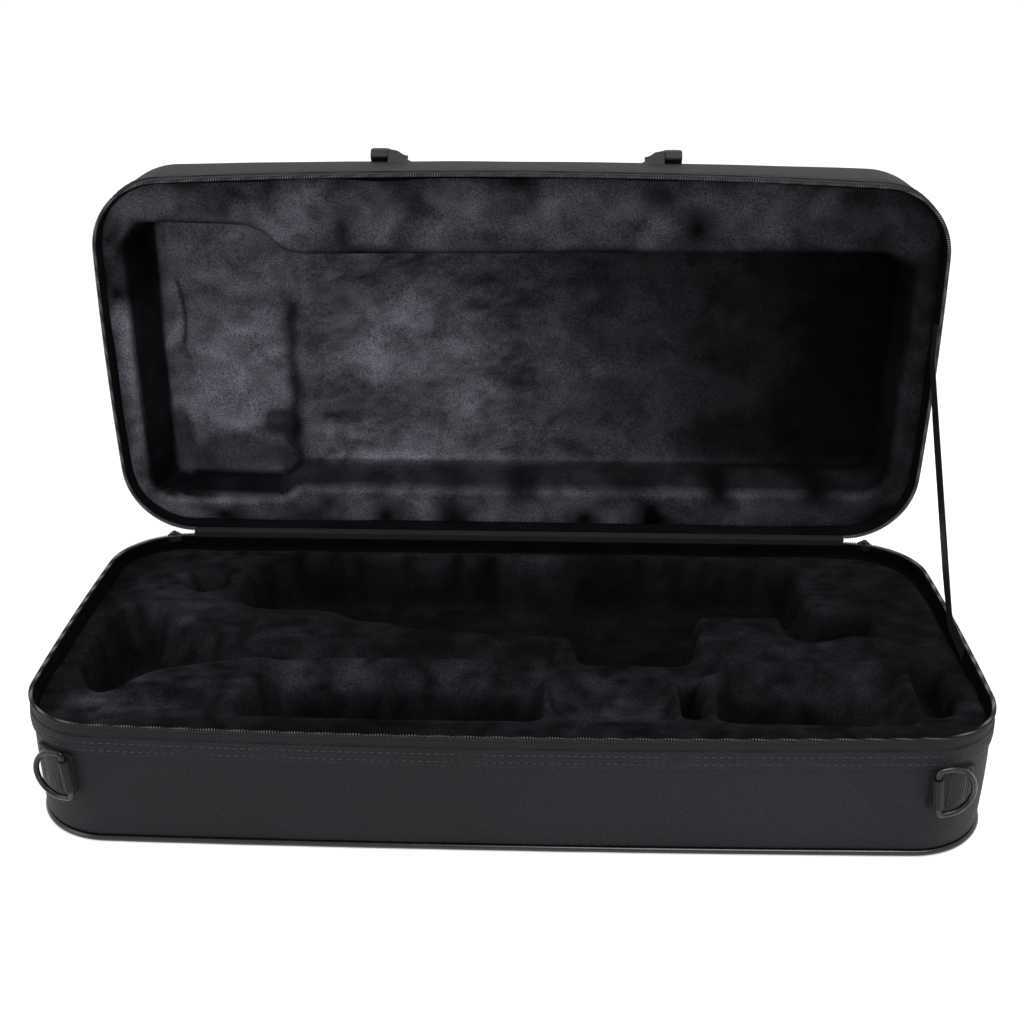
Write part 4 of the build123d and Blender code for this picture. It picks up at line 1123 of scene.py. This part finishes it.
def stayRibbon():
    # from its stitched foot in the base over the rim and straight to the lid, with a slight hang and twist
    foot = [(-0.024, 0.0718), (0.008, 0.0754)]
    line = smoothPath(foot + [lidPoint(-0.008, 0.0006), lidPoint(-0.032, 0.0042)], 0.0025, 0.006)
    length = pathLength(line)
    share = length / length[-1]
    free = smoothStep(share, 0.14, 0.3) * (1 - smoothStep(share, 0.72, 0.86))
    path = np.column_stack([np.full(len(line), stay["x"] - stay["thick"] / 2),
                            line[:, 0] + 0.6 * stay["sag"] * free,
                            line[:, 1] - 0.8 * stay["sag"] * free])
    turn = stay["twist"] * free
    side = np.column_stack([np.cos(turn), -np.sin(turn) * 0.77, np.sin(turn) * 0.64])
    piece = strip("stayRibbon", path, side, stay["wide"], stay["thick"])
    piece.data.materials.append(ribbonWeave)
    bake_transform(piece)
    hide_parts("stay_ribbon")


hingeCloths()
stayRibbon()
print("hinge cloth and ribbon ready")

# ring webs on the front corners
web = {"level": 0.044, "high": 0.0220, "thick": 0.0020, "wrap": radians(28), "tilt": radians(6.5),
       "bore": 0.00172, "sleeve": 0.0029, "bar": 0.0092, "sunk": 0.0012, "standoff": 0.0036,
       "stitches": (8.5, 25.0),
       "foldAt": radians(21), "foldDepth": 0.0005, "angles": {"left": 18.8, "right": 9.2}}
ring = {"wire": 0.0016, "half": 0.0140, "reach": 0.0195, "bend": 0.0030}


def carryingRing(side, centre, reachWay, barWay):
    # round wire bent to a D: straight bar with rounded ends, two short arms and a half circle
    r = ring["half"]
    turn = np.linspace(-pi / 2, pi / 2, 40)
    bend = np.linspace(0, pi / 2, 8)[1:-1]
    bow = np.column_stack([ring["reach"] - r + r * np.cos(turn), r * np.sin(turn)])
    upper = np.column_stack([ring["bend"] * (1 - np.sin(bend)), r - ring["bend"] * (1 - np.cos(bend))])
    bar = np.column_stack([np.zeros(14), np.linspace(r - ring["bend"], ring["bend"] - r, 14)])
    flat = np.concatenate([bow, upper, bar, (upper * [1, -1])[::-1]])
    path = centre + flat[:, :1] * reachWay + flat[:, 1:] * barWay
    along = unit(np.roll(path, -1, axis=0) - np.roll(path, 1, axis=0))
    flatWay = np.cross(reachWay, barWay)
    inward = np.cross(along, flatWay)
    around = fullTurn(14)[:, None, None]
    grid = path + ring["wire"] * (np.cos(around) * inward + np.sin(around) * flatWay)
    dress(tube(side + "CarryingRing", grid, True, 60), blackMetal, side + "_ring",
          [side + "_carrying_ring"])


def ringWeb(side):
    hand = -1 if side == "left" else 1
    bow = case["bowRim"] - ((case["bowRim"] - case["bowFoot"])
                            * (case["baseHeight"] - web["level"]) / case["baseHeight"])
    cx, cy = planSpans(bow)[1][2 if side == "left" else 4][0]
    barAngle = radians(-90 + hand * web["angles"][side])
    turn = barAngle + hand * np.linspace(-radians(3.5), web["wrap"], 40)[None]
    r = case["corner"]
    half = web["high"] / 2
    section = slab((r - web["sunk"], -half), (r + web["thick"], half), 0.0006, 4, 0.0012)
    folded = smoothStep(np.abs(turn - barAngle), web["foldAt"] - radians(1), web["foldAt"] + radians(1))
    fold = web["foldDepth"] * folded
    reach = section[:, :1] - fold * (section[:, :1] > r)
    grid = np.stack([cx + reach * np.cos(turn), cy + reach * np.sin(turn),
                     web["level"] + section[:, 1:] + 0 * turn], axis=-1)
    dress(tube(side + "RingWeb", grid, False, 40), webbing, "base", [side + "_ring_web"])

    out = np.array([cos(barAngle), sin(barAngle), 0.0])
    tangent = np.array([-sin(barAngle), cos(barAngle), 0.0]) * hand
    # direction of the bar: upright, leaning with the ring
    ringX = tangent * cos(web["tilt"]) + np.array([0, 0, hand * sin(web["tilt"])])
    bar = np.cross(out, ringX)
    centre = np.array([cx, cy, 0]) + out * (r + web["standoff"]) + np.array([0, 0, web["level"]])
    carryingRing(side, centre, ringX, bar)
    around = fullTurn(30)[None]
    sleeve = slab((web["bore"], -web["bar"]), (web["sleeve"], web["bar"]), 0.0004, 4, 0.0010)
    cross = np.cross(bar, out)
    spoke = np.cos(around)[..., None] * out + np.sin(around)[..., None] * cross
    grid = centre + sleeve[:, :1, None] * spoke + sleeve[:, 1:, None] * bar
    dress(tube(side + "RingSleeve", grid, True, 40), webbing, "base")

    rows = []
    for turnAt in web["stitches"]:
        z = np.arange(-0.0085, 0.0086, 0.0034)
        a = barAngle + hand * radians(turnAt)
        reach = r + web["thick"] - (web["foldDepth"] if radians(turnAt) > web["foldAt"] else 0)
        rows.append(np.column_stack([0 * z + cx + reach * cos(a), 0 * z + cy + reach * sin(a),
                                     web["level"] + z]))
    spots = np.concatenate(rows)
    normal = spots - [cx, cy, 0]
    normal[:, 2] = 0
    normal = unit(normal)
    up = np.tile([0.0, 0.0, 1.0], (len(spots), 1))
    piece = repeated(side + "RingWebStitches", spots, up, normal, np.cross(up, normal), 0.0024, 0.00028)
    dress(piece, thread, "base")


ringWeb("left")
ringWeb("right")
print("ring webs and rings ready")

# handle
handle = {
    "pivot": (0.0035, 0.163114, 0.318228), "hang": (0.0, 0.78981, -0.61335), "rise": 0.036, "half": 0.045,
    "end": 0.0072, "middle": 0.0090, "strap": 0.0110, "thick": 0.0030, "hump": 0.0046, "bend": 0.050,
    "pitch": 0.092, "pin": 0.00148, "pinPast": 0.0070, "loop": (0.00152, 0.0030), "chape": 0.0120,
    "chapeFront": 0.1540, "leaf": 0.0012, "wallTop": 0.3162, "wallFrom": 0.109, "wallFall": 0.004 / 0.061,
    "stitchPitch": 0.0032, "stitchTurn": 0.17,
    "endBlock": [(-0.0030, -0.0036), (0.0030, -0.0048), (0.0066, 0.0010), (0.0060, 0.0056),
                 (0.0028, 0.0060), (-0.0028, 0.0018)],
}
pivot, across, hang = np.array(handle["pivot"]), np.array([1.0, 0.0, 0.0]), np.array(handle["hang"])
facing = np.cross(across, hang)


def onHandle(u, v, w):
    return pivot + u[..., None] * across + v[..., None] * hang + w[..., None] * facing


def handleGrip():
    # padded leather: the radius bulges along the grip, the ends round over, a raised seam on the inner side
    s = np.linspace(-1, 1, 90)
    end = np.sqrt(np.clip(1 - (np.clip(np.abs(s) - 0.93, 0, 1) / 0.07)**2, 0, 1))
    radius = (handle["end"] + (handle["middle"] - handle["end"]) * (1 - s**2)) * (0.35 + 0.65 * end)
    turn = fullTurn(40)[:, None]
    away = np.abs(np.angle(np.exp(1j * (turn - 1.5 * pi))))
    seam = 0.0006 * np.exp(-(away / 0.10)**2) - 0.0004 * np.exp(-((away - 0.26) / 0.07)**2)
    r = radius[None] + seam + 0.00018 * ripple(s[None] * 0.045, turn * 0.009, 0.016, 71)
    grid = onHandle(s[None] * handle["half"] + 0 * turn, handle["rise"] + r * np.cos(turn), r * np.sin(turn))
    piece = tube("handleGrip", grid, False, 60)
    dress(piece, leather, "handle", ["handle_grip"])
    at = np.arange(-0.040, 0.0401, handle["stitchPitch"])
    spots = []
    for angle in (1.5 * pi - handle["stitchTurn"], 1.5 * pi + handle["stitchTurn"]):
        r = handle["end"] + (handle["middle"] - handle["end"]) * (1 - (at / handle["half"])**2) + 0.0001
        spots.append(onHandle(at, handle["rise"] + r * cos(angle), r * sin(angle)))
    spots = np.concatenate(spots)
    middle = onHandle(np.concatenate([at, at]), np.full(2 * len(at), handle["rise"]), np.zeros(2 * len(at)))
    normal = unit(spots - middle)
    run = np.tile(across, (len(spots), 1))
    dress(repeated("handleGripStitches", spots, run, normal, np.cross(run, normal), 0.0022, 0.00026), thread,
          "handle")


def handleChape(name, hand):
    # leather folded round the pin: a leaf on the lid's wall, and a fold that narrows away from the strap
    near = pivot[0] + hand * (handle["pitch"] - handle["strap"] / 2 - 0.0003)
    share = np.linspace(0, 1, 16)[None]
    x = near - hand * handle["chape"] * share
    size = np.interp(share, [0, 0.45, 0.62, 1], [0.0032, 0.0022, 0.0013, 0.0008])
    turn = np.linspace(-0.62 * pi, 0.80 * pi, 22)[:, None]
    cy, cz = pivot[1], pivot[2] - 0.0016 * smoothStep(share, 0.45, 0.9)
    foldY, foldZ = cy + size * np.cos(turn), cz + size * np.sin(turn)
    front = handle["chapeFront"]
    wall = handle["wallTop"] - handle["wallFall"] * (front - handle["wallFrom"])
    leafY = np.array([front, front, pivot[1] - 0.002])[:, None] + 0 * share
    leafZ = np.array([wall + handle["leaf"], wall - 0.0002, wall - 0.0012])[:, None] + 0 * share
    y, z = np.concatenate([foldY, leafY]), np.concatenate([foldZ, leafZ])
    grid = np.stack([x + 0 * y, y, z], axis=-1)
    dress(tube(name + "HandleChape", grid, False, 40), leather, "lid",
          [name + "_handle_chape"])


def handleStrap():
    # the strap rises over each pin in a stiff hump, then falls to the plane of the grip as it turns in
    h = handle
    half = [(-h["pitch"], 0.0008, 0.0022), (-h["pitch"], 0.0026, 0.7 * h["hump"]),
            (-h["pitch"], 0.0062, h["hump"]), (-h["pitch"] + 0.010, 0.0125, 0.0014),
            (-h["pitch"] + 0.018, 0.0180, 0.0), (-h["bend"], h["rise"], 0.0)]
    corners = half + [(-u, v, w) for u, v, w in half[::-1]]
    local = smoothPath(corners, 0.0015, 0.004)
    path = onHandle(local[:, 0], local[:, 1], local[:, 2])
    along = unit(np.gradient(path, axis=0))
    inPlane = smoothStep(local[:, 1], 0.005, 0.014)[:, None]
    wide = (1 - inPlane) * np.sign(local[:, :1]) * across + inPlane * np.cross(facing, along)
    wide = unit(wide - np.einsum("ij,ij->i", wide, along)[:, None] * along)
    piece = strip("handleStrap", path, np.cross(wide, along), h["strap"], h["thick"])
    dress(piece, leather, "handle", ["handle_strap"])
    around = fullTurn(28)[None]
    half = h["strap"] / 2
    loop = slab((h["loop"][0], -half), (h["loop"][1], half), 0.0005, 4, 0.0011)
    for name, hand in (("left", -1), ("right", 1)):
        grid = onHandle(hand * h["pitch"] + loop[:, 1:] + 0 * around, loop[:, :1] * np.cos(around),
                        loop[:, :1] * np.sin(around))
        dress(tube(name + "StrapLoop", grid, True, 40), leather, "handle")
        # the strap's end round the pin: a rounded block from just above the wall to under the hump
        outline = dense(rounded(h["endBlock"], 0.0014, 5), 0.0008)
        at = hand * h["pitch"] + np.linspace(-half, half, 14)[None]
        swell = (1 - 0.12 * np.abs(np.linspace(-1, 1, 14))**8)[None]
        grid = onHandle(at + 0 * outline[:, :1], outline[:, :1] * swell, outline[:, 1:] * swell)
        dress(tube(name + "StrapEnd", grid, False, 40), leather, "handle")
        pin = np.linspace(hand * (h["pitch"] + half), hand * (h["pitch"] - half - h["pinPast"]), 12)[None]
        turn = fullTurn(16)[:, None]
        size = h["pin"] * np.sqrt(np.clip(1 - (np.abs(np.linspace(-1, 1, 12)) ** 24) * 0.5, 0, 1))[None]
        grid = onHandle(pin + 0 * turn, size * np.cos(turn), size * np.sin(turn))
        dress(tube(name + "HandlePin", grid, False, 40), pinMetal, "handle",
              [name + "_handle_pin"])
        handleChape(name, hand)


handleGrip()
handleStrap()
print("handle ready")

# floor, light and camera
studio = {"floor": 0.80, "glow": 0.62, "sky": 0.50, "keyPower": 30.0, "fillPower": 12.0}


def seenDirectly(tree):
    # 1 for camera, glossy and transmission rays, 0 for the light that falls on the case
    rays = node(tree, "ShaderNodeLightPath")
    seen = calc(tree, "MAXIMUM", rays.outputs["Is Camera Ray"], rays.outputs["Is Glossy Ray"])
    return calc(tree, "MAXIMUM", seen, rays.outputs["Is Transmission Ray"])


def floorAndSky():
    bpy.ops.mesh.primitive_plane_add(size=24, location=(0, 0, 0))
    floor = bpy.context.object
    floor.name = "floor"
    made, tree, surface = startMaterial("floorPaper", **{"Roughness": 0.9, "Specular IOR Level": 0.0})
    surface.inputs["Base Color"].default_value = (studio["floor"],) * 3 + (1,)
    surface.inputs["Emission Color"].default_value = (1, 1, 1, 1)
    tree.links.new(times(tree, seenDirectly(tree), studio["glow"]), surface.inputs["Emission Strength"])
    floor.data.materials.append(made)
    world = bpy.data.worlds.new("studioSky")
    bpy.context.scene.world = world
    world.use_nodes = True
    tree = world.node_tree
    level = plus(tree, studio["sky"], times(tree, seenDirectly(tree), 1 - studio["sky"]))
    tree.nodes["Background"].inputs[0].default_value = (1, 1, 1, 1)
    tree.links.new(level, tree.nodes["Background"].inputs[1])


def softLamp(name, spot, target, size, power):
    lamp = bpy.data.lights.new(name, "AREA")
    lamp.shape, lamp.size, lamp.size_y, lamp.energy = "RECTANGLE", size[0], size[1], power
    holder = bpy.data.objects.new(name, lamp)
    holder.location = spot
    holder.rotation_euler = (Vector(target) - Vector(spot)).to_track_quat("-Z", "Y").to_euler()
    bpy.context.scene.collection.objects.link(holder)


floorAndSky()
softLamp("keyLamp", (0.55, -0.75, 1.9), (0.0, 0.05, 0.08), (1.3, 1.0), studio["keyPower"])
softLamp("fillLamp", (-1.9, -0.9, 1.2), (0, 0, 0.1), (1.2, 1.2), studio["fillPower"])

view = {"place": (0.0189, -0.7227, 0.4734), "yaw": radians(-1.54), "pitch": radians(24.35),
        "roll": radians(0.11),
        "focal": 1389.1, "frame": 1024, "sensor": 36}


def setCamera():
    # a pinhole camera from its place, its three turns and its focal length in pixels of a square frame
    yaw, pitch, roll = view["yaw"], view["pitch"], view["roll"]
    ahead = Vector((sin(yaw) * cos(pitch), cos(yaw) * cos(pitch), -sin(pitch)))
    level = Vector((cos(yaw), -sin(yaw), 0))
    upright = level.cross(ahead)
    right = level * cos(roll) + upright * sin(roll)
    up = upright * cos(roll) - level * sin(roll)
    camera = bpy.data.objects.new("camera", bpy.data.cameras.new("camera"))
    camera.data.sensor_width = view["sensor"]
    camera.data.lens = view["sensor"] * view["focal"] / view["frame"]
    turned = Matrix((right, up, -ahead)).transposed().to_4x4()
    camera.matrix_world = Matrix.Translation(view["place"]) @ turned
    bpy.context.scene.collection.objects.link(camera)
    bpy.context.scene.camera = camera


setCamera()
bpy.context.scene.view_settings.view_transform = "Standard"
